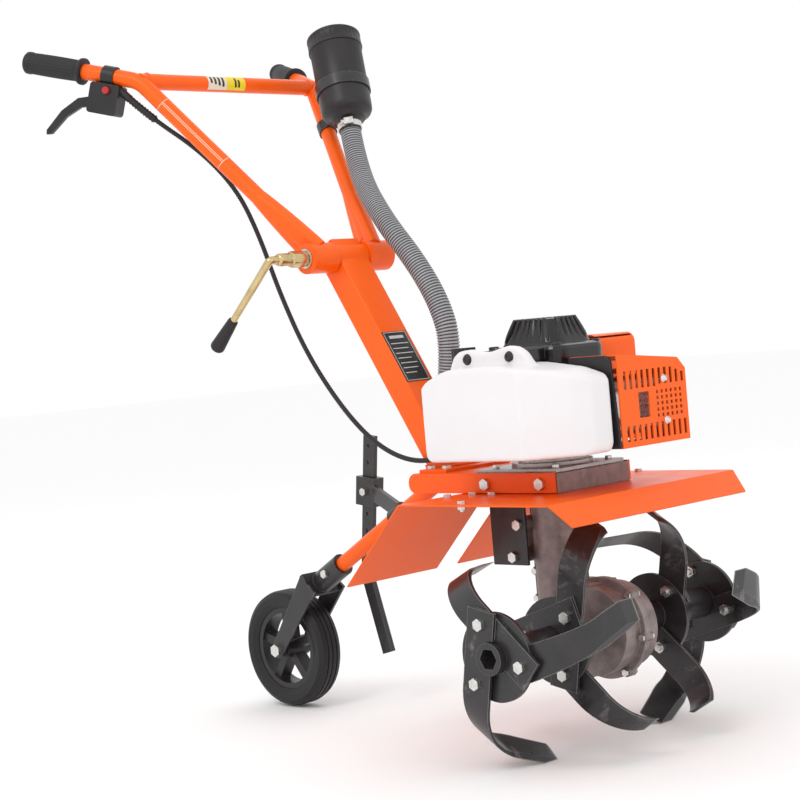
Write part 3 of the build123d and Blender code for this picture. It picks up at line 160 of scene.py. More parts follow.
def finish(name, colour, rough, metal=0.0, coat=0.0, vary=0.1, vary_scale=25.0, grain=600.0,
           bump=0.05, edge=None, edge_amount=0.0, edge_radius=0.0012, streak=None, subsurface=0.0,
           rough_vary=0.08, specular=0.5, bare=None):
    """A procedural surface: mottled colour, uneven roughness, fine grain and rounded edges in an edge colour: wear
    on the dark tine paint, a painted highlight on the orange paint.

    streak and bare are (noise scale, from, to, colour). streak changes the colour where its noise
    is high, and bare also makes the surface metal there.
    """
    m = bpy.data.materials.new(name)
    m.use_nodes = True
    t = m.node_tree
    links = t.links
    bsdf = t.nodes["Principled BSDF"]
    for key, value in {
        "Metallic": metal, "Coat Weight": coat, "Coat Roughness": COAT_ROUGHNESS,
        "Specular IOR Level": specular, "Subsurface Weight": subsurface,
        "Subsurface Radius": (0.02, 0.02, 0.02), "Subsurface Scale": 0.3,
    }.items():
        bsdf.inputs[key].default_value = value
    where = node(t, "ShaderNodeTexCoord").outputs["Object"]
    mottle = noise(t, where, Scale=vary_scale, Detail=5.0, Roughness=0.6)
    mix = node(t, "ShaderNodeMix")
    mix.data_type = "RGBA"
    mix.inputs["A"].default_value = (*[c * (1 - vary) for c in colour], 1)
    mix.inputs["B"].default_value = (*[min(1.0, c * (1 + vary)) for c in colour], 1)
    links.new(ranged(t, mottle, NOISE_LOW, NOISE_HIGH), mix.inputs["Factor"])
    out = mix.outputs["Result"]
    if streak is not None:
        scale, low, high, tint = streak
        spots = noise(t, where, Scale=scale, Detail=6.0, Roughness=0.75)
        out = colour_over(t, out, ranged(t, spots, low, high), tint)
    round_edge = node(t, "ShaderNodeBevel", Radius=edge_radius)
    round_edge.samples = 4
    rounded = round_edge.outputs["Normal"]
    # Edge colour: wear on some finishes, a painted highlight along the orange paint's edges.
    if edge is not None:
        out = colour_over(t, out, edge_wear_and_highlight(t, rounded, edge_amount), edge)
    if bare is not None:
        scale, low, high, tint = bare
        spots = noise(t, where, Scale=scale, Detail=8.0, Roughness=0.7, Distortion=0.6)
        bared = ranged(t, spots, low, high, most=BARE_METALLIC)
        out = colour_over(t, out, bared, tint)
        links.new(bared, bsdf.inputs["Metallic"])
    links.new(out, bsdf.inputs["Base Color"])
    links.new(ranged(t, mottle, NOISE_LOW, NOISE_HIGH, max(LEAST_ROUGH, rough - rough_vary),
                     rough + rough_vary), bsdf.inputs["Roughness"])
    rise = node(t, "ShaderNodeBump", Strength=bump, Distance=GRAIN_DEPTH)
    links.new(noise(t, where, Scale=grain, Detail=3.0), rise.inputs["Height"])
    links.new(rounded, rise.inputs["Normal"])
    links.new(rise.outputs["Normal"], bsdf.inputs["Normal"])
    return m


FINISHES = {
    # The lighter edge colour here is a painted highlight along the paint's edges.
    "orange_paint": dict(
        colour=(0.95, 0.118, 0.002), rough=0.38, coat=0.05, specular=0.28, vary=0.03,
        grain=260.0, bump=0.05, edge=(1.0, 0.22, 0.03), edge_amount=0.35),
    "orange_plastic": dict(
        colour=(0.93, 0.118, 0.003), rough=0.40, specular=0.28, vary=0.04, grain=900.0,
        bump=0.10, edge=(1.0, 0.28, 0.08), edge_amount=0.3),
    "black_paint": dict(
        colour=(0.022, 0.020, 0.022), rough=0.38, metal=0.1, coat=0.15, vary=0.35,
        vary_scale=40.0, grain=350.0, bump=0.12, edge=(0.30, 0.27, 0.26), edge_amount=0.6,
        streak=(70.0, 0.60, 0.78, (0.075, 0.068, 0.066))),
    "cast_metal": dict(
        colour=(0.255, 0.210, 0.203), rough=0.44, metal=0.35, vary=0.30, vary_scale=60.0,
        grain=420.0, bump=0.45, edge=(0.42, 0.38, 0.36), edge_amount=0.7, edge_radius=0.002,
        streak=(35.0, 0.56, 0.75, (0.36, 0.31, 0.30))),
    "worn_paint": dict(
        colour=(0.020, 0.018, 0.020), rough=0.36, coat=0.1, vary=0.35, vary_scale=30.0,
        grain=300.0, bump=0.18, edge=(0.42, 0.39, 0.38), edge_amount=0.75, edge_radius=0.0014,
        bare=(16.0, 0.57, 0.72, (0.30, 0.285, 0.29)), rough_vary=0.12),
    "turned_metal": dict(
        colour=(0.40, 0.37, 0.355), rough=0.30, metal=0.85, vary=0.22, vary_scale=90.0,
        grain=700.0, bump=0.12, edge=(0.75, 0.72, 0.70), edge_amount=0.4),
    "bare_alloy": dict(
        colour=(0.36, 0.34, 0.33), rough=0.42, metal=0.75, vary=0.18, grain=500.0, bump=0.25,
        edge=(0.7, 0.68, 0.66), edge_amount=0.5),
    "machined_steel": dict(
        colour=(0.38, 0.37, 0.37), rough=0.32, metal=0.95, vary=0.15, grain=800.0, bump=0.08,
        edge=(0.7, 0.7, 0.7), edge_amount=0.5),
    "zinc": dict(
        colour=(0.66, 0.65, 0.63), rough=0.26, metal=0.95, vary=0.16, vary_scale=160.0,
        grain=900.0, bump=0.05, edge=(0.9, 0.9, 0.88), edge_amount=0.25, edge_radius=0.0008),
    "yellow_zinc": dict(
        colour=(0.60, 0.47, 0.24), rough=0.24, metal=0.95, vary=0.20, vary_scale=40.0,
        grain=700.0, bump=0.03, edge=(0.9, 0.8, 0.5), edge_amount=0.15,
        streak=(30.0, 0.56, 0.8, (0.62, 0.40, 0.30))),
    "rubber": dict(
        colour=(0.017, 0.015, 0.017), rough=0.55, specular=0.4, vary=0.2, grain=900.0, bump=0.22),
    "tyre": dict(
        colour=(0.013, 0.012, 0.013), rough=0.52, specular=0.35, vary=0.25, grain=600.0,
        bump=0.2, edge=(0.10, 0.09, 0.09), edge_amount=0.3),
    "black_plastic": dict(
        colour=(0.019, 0.017, 0.019), rough=0.40, specular=0.4, vary=0.15, grain=1200.0,
        bump=0.10, edge=(0.12, 0.11, 0.11), edge_amount=0.4),
    "tank_plastic": dict(
        colour=(0.79, 0.765, 0.775), rough=0.40, vary=0.02, vary_scale=12.0, grain=500.0,
        bump=0.04, subsurface=0.15, specular=0.35, rough_vary=0.04),
    "hose_plastic": dict(
        colour=(0.38, 0.38, 0.40), rough=0.42, specular=0.35, vary=0.08, grain=700.0, bump=0.05),
    # Painted shade: a dark colour for the hose's grooves, standing in for the shadow inside them.
    "hose_groove_shade": dict(
        colour=(0.085, 0.085, 0.09), rough=0.5, vary=0.15, grain=700.0, bump=0.05),
    "foam": dict(
        colour=(0.05, 0.045, 0.04), rough=0.9, vary=0.2, grain=300.0, bump=0.6),
    "red_plastic": dict(
        colour=(0.45, 0.02, 0.015), rough=0.3, vary=0.08, grain=900.0, bump=0.04),
    "gear_bronze": dict(
        colour=(0.5, 0.33, 0.14), rough=0.35, metal=0.9, vary=0.15, grain=600.0, bump=0.1),
    "gloss_black": dict(
        colour=(0.009, 0.008, 0.009), rough=0.16, coat=0.2, specular=0.4, vary=0.15,
        grain=900.0, bump=0.06, edge=(0.10, 0.09, 0.09), edge_amount=0.4),
    "print_grey": dict(
        colour=(0.55, 0.55, 0.54), rough=0.45, vary=0.06, grain=900.0, bump=0.02),
    "print_white": dict(
        colour=(0.80, 0.72, 0.58), rough=0.45, vary=0.05, grain=900.0, bump=0.02),
    "print_yellow": dict(
        colour=(0.86, 0.66, 0.02), rough=0.4, vary=0.04, grain=900.0, bump=0.02),
    "print_black": dict(
        colour=(0.018, 0.018, 0.018), rough=0.35, vary=0.1, grain=900.0, bump=0.02),
}
MAT = {name: finish(name, **settings) for name, settings in FINISHES.items()}


def dress_cad():
    """Every CAD node takes the procedural finish of its material slot, or a variant of it."""
    variants = {
        "clutch_housing": "turned_metal", "engine_plate": "turned_metal",
        "tines_outer": "worn_paint", "tines_inner": "worn_paint",
    }
    for part in frame["record"]["subparts"]:
        mesh = NODES[part["node"]].data
        mesh.materials.clear()
        mesh.materials.append(MAT[variants.get(part["node"], part["material_slot"])])


dress_cad()


# ---------------------------------------------------------------- mesh helpers
UP = Vector((0, 0, 1))
FORE = Vector((1, 0, 0))
SQUARE = ((-1, -1), (1, -1), (1, 1), (-1, 1))


def piece(name, mesh, body, slot, *mats, smooth=True, replaces=()):
    """A finished object: painted, riding on a body, and standing for CAD nodes if it does.

    Clearing a material list resets the slot of every face, so an empty list is left alone.
    """
    obj = link(name, mesh)
    if len(mesh.materials):
        mesh.materials.clear()
    for mat in mats or (MAT[slot],):
        mesh.materials.append(mat)
    if smooth:
        mesh.shade_smooth()
    if body:
        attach(obj, body)
    if replaces:
        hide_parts(*replaces)
    return obj


def to_mesh(name, bm):
    """The bmesh as a mesh, with its faces turned outwards."""
    bmesh.ops.recalc_face_normals(bm, faces=bm.faces)
    mesh = bpy.data.meshes.new(name)
    bm.to_mesh(mesh)
    bm.free()
    return mesh


def baked(mesh, *mods):
    """The mesh with these modifiers applied. Each is (type, {setting: value})."""
    obj = link("tmp", mesh)
    for kind, settings in mods:
        mod = obj.modifiers.new(kind.lower(), kind)
        for key, value in settings.items():
            setattr(mod, key, value)
    bpy.context.view_layer.update()
    evaluated = obj.evaluated_get(bpy.context.evaluated_depsgraph_get())
    result = bpy.data.meshes.new_from_object(evaluated)
    bpy.data.objects.remove(obj)
    return result


def basis(axis):
    """Two directions square to axis and to each other."""
    axis = Vector(axis).normalized()
    side = axis.cross(UP)
    if side.length < 1e-3:
        side = axis.cross(FORE)
    side.normalize()
    return side, axis.cross(side)


def add_lathe(bm, origin, axis, profile, segs, wobble=None):
    """Turns (radius, height) points, in mm, about an axis.

    wobble(angle, i) adds to the radius of point i.
    """
    axis = Vector(axis).normalized()
    a, b = basis(axis)
    rings = []
    for i, (r, h) in enumerate(profile):
        if r < 1e-4:
            rings.append([bm.verts.new(origin + axis * h * MM)])
            continue
        ring = []
        for k in range(segs):
            w = 2 * math.pi * k / segs
            rr = r + (wobble(w, i) if wobble else 0.0)
            out = (a * math.cos(w) + b * math.sin(w)) * rr
            ring.append(bm.verts.new(origin + (out + axis * h) * MM))
        rings.append(ring)
    for low, high in zip(rings, rings[1:]):
        for k in range(segs):
            n = (k + 1) % segs
            if len(low) == 1 and len(high) == 1:
                continue
            if len(low) == 1:
                bm.faces.new((low[0], high[k], high[n]))
            elif len(high) == 1:
                bm.faces.new((low[k], low[n], high[0]))
            else:
                bm.faces.new((low[k], low[n], high[n], high[k]))


def lathe(origin, axis, profile, segs, wobble=None):
    """A new bmesh with one turned solid in it."""
    bm = bmesh.new()
    add_lathe(bm, origin, axis, profile, segs, wobble)
    return bm


def add_prism(bm, points, depth, mat=0):
    """A closed solid between a loop of points and the same loop moved by depth."""
    low = [bm.verts.new(p) for p in points]
    high = [bm.verts.new(p + depth) for p in points]
    faces = [bm.faces.new(low), bm.faces.new(list(reversed(high)))]
    for k in range(len(points)):
        n = (k + 1) % len(points)
        faces.append(bm.faces.new((low[k], high[k], high[n], low[n])))
    for f in faces:
        f.material_index = mat


def add_block(bm, centre, size, x, z, mat=0):
    """A box of that size in mm about a point of the row frame, its X and Z along x and z."""
    x, z = Vector(x).normalized(), Vector(z).normalized()
    y = z.cross(x)
    hx, hy, hz = (v * MM / 2 for v in size)
    base = [centre + x * sx * hx + y * sy * hy - z * hz for sx, sy in SQUARE]
    add_prism(bm, base, z * hz * 2, mat)


def add_tube(bm, path, radius, segs, mat=None):
    """A closed tube along points of the row frame.

    radius(i, distance) is in mm at point i, and mat(i) is a material slot number.
    """
    pts = [Vector(p) for p in path]
    along = [0.0]
    for p, q in zip(pts, pts[1:]):
        along.append(along[-1] + (q - p).length / MM)
    last = len(pts) - 1
    ways = [(pts[min(i + 1, last)] - pts[max(i - 1, 0)]).normalized() for i in range(last + 1)]
    side = basis(ways[0])[0]
    turns = [2 * math.pi * k / segs for k in range(segs)]
    rings = []
    for i, (p, way) in enumerate(zip(pts, ways)):
        side = (side - way * side.dot(way)).normalized()
        other = way.cross(side)
        r = radius(i, along[i]) * MM
        rings.append([bm.verts.new(p + (side * math.cos(w) + other * math.sin(w)) * r)
                      for w in turns])
    for i, (low, high) in enumerate(zip(rings, rings[1:])):
        for k in range(segs):
            n = (k + 1) % segs
            face = bm.faces.new((low[k], low[n], high[n], high[k]))
            if mat:
                face.material_index = mat(i)
    bm.faces.new(list(reversed(rings[0])))
    bm.faces.new(rings[-1])


def flowing(points, step_mm):
    """The smooth line of a route's NURBS spline: as read, evenly spaced, and its length."""
    curve = bpy.data.curves.new("route", "CURVE")
    curve.dimensions = "3D"
    spline = curve.splines.new("NURBS")
    spline.points.add(len(points) - 1)
    for p, q in zip(spline.points, points):
        p.co = (*q, 1)
    spline.order_u = 3
    spline.use_endpoint_u = True
    spline.resolution_u = 64
    obj = link("route", curve)
    bpy.context.view_layer.update()
    line = bpy.data.meshes.new_from_object(obj)
    raw = [v.co.copy() for v in line.vertices]
    bpy.data.objects.remove(obj)
    run = [0.0]
    for p, q in zip(raw, raw[1:]):
        run.append(run[-1] + (q - p).length)
    count = max(2, round(run[-1] / (step_mm * MM)))
    result = []
    j = 0
    for i in range(count + 1):
        s = run[-1] * i / count
        while j < len(run) - 2 and run[j + 1] < s:
            j += 1
        f = (s - run[j]) / max(1e-9, run[j + 1] - run[j])
        result.append(raw[j].lerp(raw[j + 1], min(1.0, f)))
    return raw, result, run[-1]


# ---------------------------------------------------------------- hose and cable
# The same routes as in the CAD source, in metres from the design origin.
HOSE = [ORIGIN + Vector(p) for p in (
    (-0.483, 0.104, 0.667), (-0.460, 0.090, 0.604), (-0.377, 0.048, 0.533),
    (-0.322, 0.047, 0.472), (-0.284, 0.046, 0.414), (-0.268, 0.045, 0.360), (-0.280, 0.045, 0.304),
)]
CABLE = [ORIGIN + Vector(p) for p in (
    (-0.628, -0.168, 0.728), (-0.606, -0.152, 0.700), (-0.564, -0.106, 0.650),
    (-0.541, -0.066, 0.594), (-0.528, -0.044, 0.528), (-0.506, -0.036, 0.448),
    (-0.462, -0.036, 0.362), (-0.402, -0.036, 0.286), (-0.344, -0.036, 0.236),
    (-0.284, -0.036, 0.212), (-0.228, -0.036, 0.214), (-0.188, -0.028, 0.232),
    (-0.158, -0.010, 0.256), (-0.148, 0.012, 0.270), (-0.146, 0.034, 0.275),
)]
HOSE_R = 14.95
HOSE_PITCH = 4.0  # from one rib to the next, in mm
HOSE_RINGS = (0.0, -0.15, -1.5, -1.5, -0.15)  # added to the radius, ring by ring of a pitch
# The rings of a pitch that take the painted groove shade.
GROOVE_RINGS = (1, 2)
CABLE_R, CABLE_STEP = 3.2, 1.2
BOOT_LENGTH, BOOT_EXTRA = 46, 1.9  # the boot at the throttle housing is that much thicker


def hose():
    """Corrugated intake hose, its grooves coloured darker than its ribs as painted shade."""
    rings = len(HOSE_RINGS)
    line, path, length = flowing(HOSE, HOSE_PITCH / rings)

    def radius(i, along):
        return HOSE_R + HOSE_RINGS[i % rings]

    # Groove faces take the second material, a painted shade.
    def slot(i):
        return 1 if i % rings in GROOVE_RINGS else 0

    bm = bmesh.new()
    add_tube(bm, path, radius, 32, mat=slot)
    obj = piece("hose_corrugated", to_mesh("hose", bm), None, "hose_plastic", MAT["hose_plastic"],
                MAT["hose_groove_shade"], replaces=("intake_hose",))
    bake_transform(obj)


def cable():
    """Throttle cable in a finely ribbed sleeve, with a boot where it leaves the housing."""
    line, path, length = flowing(CABLE, CABLE_STEP)

    def radius(i, along):
        ribbed = 0.25 * math.cos(2 * math.pi * i / 3)
        boot = BOOT_EXTRA + 0.5 * math.cos(2 * math.pi * i / 4) if along < BOOT_LENGTH else 0.0
        return CABLE_R + ribbed + boot

    bm = bmesh.new()
    add_tube(bm, path, radius, 14)
    obj = piece("throttle_cable_sleeve", to_mesh("cable", bm), None, "rubber",
                replaces=("throttle_cable",))
    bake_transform(obj)


hose()
cable()


# ---------------------------------------------------------------- handlebar
ARM_LOW, BEND_1 = (-420, 56, 507), (-614, 160, 750)
BEND_2, ARM_END = (-668, 187, 767.5), (-762, 231, 796)
ARM_R = 11.0
GRIP_RIBS, RIBBED_ROWS = 26, range(7, 22)
FRONT_RIGHT = Vector((0.70, -0.70, 0.12))
LEVEL_FRONT_RIGHT = Vector((0.70, -0.70, 0.0))
PRINT_START, PRINT_END = 160, 279  # the outline on the right arm, from the arm's low end
HINGE_X, HINGE_Z = -406, 487
CLAMP_LEVER = Vector((-0.751, 0, -0.66)).normalized()
NUT_FLAT, NUT_ROUND = 9.6, 11.2  # half the width across flats, and the largest radius


def on_side(p, s):
    """A point of the left arm for s = 1, or its mirror on the right arm for s = -1."""
    return at(p[0], s * p[1], p[2])


def grips():
    """Ribbed rubber sleeves with an end flange."""
    rows = [(0, 6), (9, 6), (13.4, 5), (15.2, 3), (15.5, 0.5), (15.4, -3), (14.2, -4.5)]
    rows += [(14.3 + 0.5 * math.sin(math.pi * k / 14), -6 - 5 * k) for k in range(15)]
    rows += [(15.2, -78), (18.0, -80.5), (18.5, -82.5), (18.3, -85.5), (16.5, -86), (11.1, -86)]

    def ribs(w, i):
        return 0.45 * math.cos(GRIP_RIBS * w) if i in RIBBED_ROWS else 0.0

    bm = bmesh.new()
    for s in (-1, 1):
        end = on_side(ARM_END, s)
        way = (end - on_side(BEND_2, s)).normalized()
        add_lathe(bm, end, way, rows, GRIP_RIBS * 4, ribs)
    piece("grip_sleeves", to_mesh("grips", bm), "handlebar", "rubber", replaces=("grips",))


def facing(way, toward=FRONT_RIGHT):
    """The direction square to way that lies nearest to toward, and the one square to both."""
    d = (toward - way * toward.dot(way)).normalized()
    return d, way.cross(d)


def around(a, b, angle, radius):
    """A point on a tube from a to b, at a, turned by angle from the side that faces front right."""
    d, e = facing((b - a).normalized())
    w = math.radians(angle)
    return a + (d * math.cos(w) + e * math.sin(w)) * radius * MM


def arm_lines():
    """Pale outline printed along the right arm, with two short bands across it."""
    bm = bmesh.new()
    low, high = on_side(ARM_LOW, -1), on_side(BEND_1, -1)
    way = (high - low).normalized()
    span, wrap, steps, band_steps = PRINT_END - PRINT_START, 58, 30, 24

    def spot(along, angle):
        return around(low + way * along * MM, high, angle, ARM_R + 0.1)

    for angle in (-6, 6):
        line = [spot(PRINT_START + span * k / steps, angle) for k in range(steps + 1)]
        add_tube(bm, line, lambda i, d: 0.45, 8)
    for along in (PRINT_START, PRINT_END):
        band = [spot(along, -wrap + 2 * wrap * k / band_steps) for k in range(band_steps + 1)]
        add_tube(bm, band, lambda i, d: 0.5, 8)
    piece("arm_outline_print", to_mesh("arm_lines", bm), "handlebar", "orange_paint",
          MAT["print_white"])


def wrapped_patch(bm, a, b, angle0, angle1, radius, mat):
    """A thin curved sticker on a tube that runs from a to b."""
    steps, thickness = 10, 0.18
    grid = []
    for p, q in ((a, b), (b, b + (b - a))):
        row = []
        for k in range(steps + 1):
            angle = angle0 + (angle1 - angle0) * k / steps
            row.append([bm.verts.new(around(p, q, angle, r))
                        for r in (radius, radius + thickness)])
        grid.append(row)
    faces = []
    for k in range(steps):
        (a0, a1), (b0, b1) = grid[0][k], grid[0][k + 1]
        (c0, c1), (d0, d1) = grid[1][k], grid[1][k + 1]
        faces += [(a1, b1, d1, c1), (b0, a0, c0, d0), (a0, b0, b1, a1), (d0, c0, c1, d1)]
    for k in (0, steps):
        (a0, a1), (c0, c1) = grid[0][k], grid[1][k]
        faces.append((a0, a1, c1, c0))
    for loop in faces:
        bm.faces.new(loop).material_index = mat


def crossbar_sticker():
    """Two-colour sticker round the crossbar, with plain bars on it."""
    bm = bmesh.new()
    x, z = BEND_1[0], BEND_1[2]
    white, yellow, black = 0, 1, 2
    ground, ink = ARM_R + 0.05, ARM_R + 0.26

    def patch(y0, y1, angle0, angle1, radius, mat):
        wrapped_patch(bm, at(x, y0, z), at(x, y1, z), angle0, angle1, radius, mat)

    patch(-47, -13.1, -62, 62, ground, white)
    patch(-13, 21, -62, 62, ground, yellow)
    for k in range(4):
        patch(-43 + 7 * k, -39.5 + 7 * k, -40, 10 + 8 * k, ink, black)
    patch(1, 4, -36, 36, ink, black)
    patch(7, 10, -20, 36, ink, black)
    piece("crossbar_sticker", to_mesh("sticker", bm), "handlebar", "orange_paint",
          MAT["print_white"], MAT["print_yellow"], MAT["print_black"], smooth=False)


def canister():
    """Air cleaner: pot with a rounded base and a neck for the hose, and its knurled lid."""
    foot, way = HOSE[0], (HOSE[0] - HOSE[1]).normalized()
    pot = [(12.6, 0), (15.4, 0), (15.8, 1.5), (15.8, 15), (19, 17), (23.5, 17.5), (24, 24),
           (30, 25.5), (34.2, 27.5), (36, 31), (36.6, 37), (36.8, 60), (37, 128), (37.8, 129),
           (38, 131), (36.5, 131.4), (30, 131.4), (12.6, 131.4)]
    piece("cleaner_pot", to_mesh("pot", lathe(foot, way, pot, 72)), "handlebar",
          "black_plastic", replaces=("cleaner_body",))

    def knurl(w, i):
        return 0.35 * math.cos(36 * w) if i in (4, 5, 6) else 0.0

    lid = [(36.9, 131.5), (38.3, 131.5), (39, 132.5), (39, 134.5), (38.3, 135.5), (38.2, 144),
           (38.2, 150), (38.9, 151), (38.6, 153), (36.8, 154.6), (33.5, 155.2), (32.6, 154.6),
           (31.5, 154.6), (30.5, 155.6), (18, 156), (0, 156)]
    piece("cleaner_cap", to_mesh("lid", lathe(foot, way, lid, 144, knurl)), "handlebar",
          "black_plastic", replaces=("cleaner_lid",))


def hose_clamp():
    """Worm-drive band round the pot's neck, with its housing and screw head."""
    foot, way = HOSE[0], (HOSE[0] - HOSE[1]).normalized()
    band = [(15.9, 3), (17.0, 3), (17.4, 3.6), (17.4, 11.4), (17.0, 12), (15.9, 12)]
    bm = lathe(foot, way, band, 60)
    out, across = facing(way, LEVEL_FRONT_RIGHT)
    housing = foot + way * 7.5 * MM + out * 19.5 * MM
    add_block(bm, housing, (13, 5, 9.5), x=across, z=way)
    screw = [(0, 0), (3.6, 0), (3.9, 1), (3.9, 4), (3.2, 5), (0, 5)]
    add_lathe(bm, housing - across * 6 * MM, -across, screw, 20)
    piece("hose_clamp", to_mesh("clamp", bm), "handlebar", "zinc", smooth=False)


def clamp():
    """Brass-coloured hex nut with a cranked rod and a tapered hand grip."""
    bm = bmesh.new()
    nut = [(6.3, 0), (9.6, 0), (NUT_ROUND, 1.6), (NUT_ROUND, 24), (9.8, 25.6), (8.6, 26),
           (8.4, 30), (8.4, 44), (7.6, 47), (5.6, 48), (0, 48)]

    def hexagon(w, i):
        if nut[i][0] != NUT_ROUND:
            return 0.0
        fold = (w + math.pi / 6) % (math.pi / 3) - math.pi / 6
        return NUT_FLAT / math.cos(fold) - NUT_ROUND

    def on_axis(y):
        return at(HINGE_X, y, HINGE_Z)

    def on_lever(along):
        return on_axis(-137) + CLAMP_LEVER * along * MM

    add_lathe(bm, on_axis(-76), (0, -1, 0), nut, 48, hexagon)
    bend = [on_axis(-112), on_axis(-126), on_lever(0), on_lever(12), on_lever(60), on_lever(134)]
    path = flowing(bend, 2.5)[1]
    add_tube(bm, path, lambda i, d: 5.5 - 0.006 * d, 20)
    piece("clamp_nut_and_rod", to_mesh("clamp_rod", bm), "clamp", "yellow_zinc",
          replaces=("clamp_lever",))
    grip = [(5.2, 0), (6.4, 0.6), (7.0, 2.2), (7.4, 8), (9.6, 44), (10.0, 49), (9.6, 52),
            (8.2, 54), (5.0, 55.2), (0, 55.4)]
    bm = lathe(on_lever(110), CLAMP_LEVER, grip, 40)
    piece("clamp_hand_grip", to_mesh("clamp_grip", bm), "clamp", "rubber",
          replaces=("clamp_grip",))


grips()
arm_lines()
crossbar_sticker()
canister()
hose_clamp()
clamp()


# ---------------------------------------------------------------- beam
BEAM_FOOT = Vector((-240.6, 0, 203.3))
BEAM_UP = (Vector((-422, 0, 502)) - BEAM_FOOT).normalized()
BEAM_FRONT = Vector((BEAM_UP.z, 0, -BEAM_UP.x))
BEAM_DEPTH, BEAM_WIDTH = 18.6, 26.2  # half of each
PLATE_OUT, INK_OUT = 18.8, 19.2  # from the beam's middle
BAR_LENGTHS = (32, 28, 32, 24, 30, 27, 20)
BEAD_SIZE = 1.5  # radius of a weld bead, in mm
BEAD_LUMP, BEAD_LUMPS = 0.35, 19  # height of its lumps, and how many go round a tube


def beam_label():
    """Dark plate on the beam's front face, with a pale border and plain bars, no lettering."""
    side = Vector((0, 1, 0))
    bm = bmesh.new()

    def plate(y, along, out, size, mat):
        spot = BEAM_FOOT + BEAM_UP * along + BEAM_FRONT * out + side * y
        add_block(bm, ORIGIN + spot * MM, size, x=side, z=BEAM_FRONT, mat=mat)

    plate(-2, 158, PLATE_OUT, (44, 78, 0.7), 0)
    for y, along, w, h in ((-2, 195.4, 40, 0.9), (-2, 120.6, 40, 0.9), (-21.8, 158, 0.9, 75.6),
                           (17.8, 158, 0.9, 75.6), (-2, 188, 26, 4.5)):
        plate(y, along, INK_OUT, (w, h, 0.3), 1)
    for k, length in enumerate(BAR_LENGTHS):
        plate(-18 + length / 2, 178 - 7.6 * k, INK_OUT, (length, 1.3, 0.3), 1)
    piece("beam_label", to_mesh("label", bm), "frame", "orange_paint", MAT["print_black"],
          MAT["print_grey"], smooth=False)


def add_bead(bm, centre, axis, radius):
    """A weld bead: a lumpy ring round the end of a tube of that radius."""
    size = BEAD_SIZE
    rows = [(radius - 0.6, -size), (radius + size * 0.5, -size * 0.8), (radius + size, 0),
            (radius + size * 0.5, size * 0.8), (radius - 0.6, size)]

    def lumps(w, i):
        return BEAD_LUMP * math.cos(BEAD_LUMPS * w) if i == 2 else 0.0

    add_lathe(bm, centre, axis, rows, 4 * BEAD_LUMPS, lumps)


def handlebar_welds():
    """Beads where the crossbar meets the arms."""
    bm = bmesh.new()
    for s in (-1, 1):
        add_bead(bm, at(BEND_1[0], s * (BEND_1[1] - 12.4), BEND_1[2]), (0, s, 0), ARM_R)
    piece("handlebar_welds", to_mesh("arm_welds", bm), "handlebar", "orange_paint")


def beam_weld():
    """A bead round the beam where it stands on its foot plate."""
    bm = bmesh.new()
    lift, steps = 1.2, 24  # the bead's middle above the plate, and the steps along a side
    corners = [BEAM_FRONT * (sx * BEAM_DEPTH) + Vector((0, sy * BEAM_WIDTH, 0)) for sx, sy in
               ((1, 1), (1, -1), (-1, -1), (-1, 1), (1, 1))]
    for a, b in zip(corners, corners[1:]):
        run = []
        for k in range(steps + 1):
            p = BEAM_FOOT + a.lerp(b, k / steps)
            p += BEAM_UP * ((lift - (p.z - BEAM_FOOT.z)) / BEAM_UP.z)
            run.append(ORIGIN + p * MM)
        add_tube(bm, run, lambda i, d: 1.9 + BEAD_LUMP * math.cos(2.2 * i), 8)
    piece("beam_foot_weld", to_mesh("foot_weld", bm), "frame", "orange_paint")


beam_label()
handlebar_welds()
beam_weld()


# ---------------------------------------------------------------- engine
TANK = (-139, 72, -153.5, -54, 221, 331)  # lowest and highest X, Y and Z
EAR_SCREWS = ((-101, 340), (-34, 340))  # X and Z
EAR_FACE_Y, EAR_THICK = -106, 14
FILLER = (-136, -74, 318)
TANK_VOXEL = 0.0018  # metres
COVER_X, COVER_STUDS = 77, ((40, 299), (41, 249))  # Y and Z of each stud
STARTER_X, STARTER_Y = -68, 3
RIB_RADII = (0.9, 2.3, 2.6, 2.6, 2.4, 1.0)
CORNER_STEPS = 6


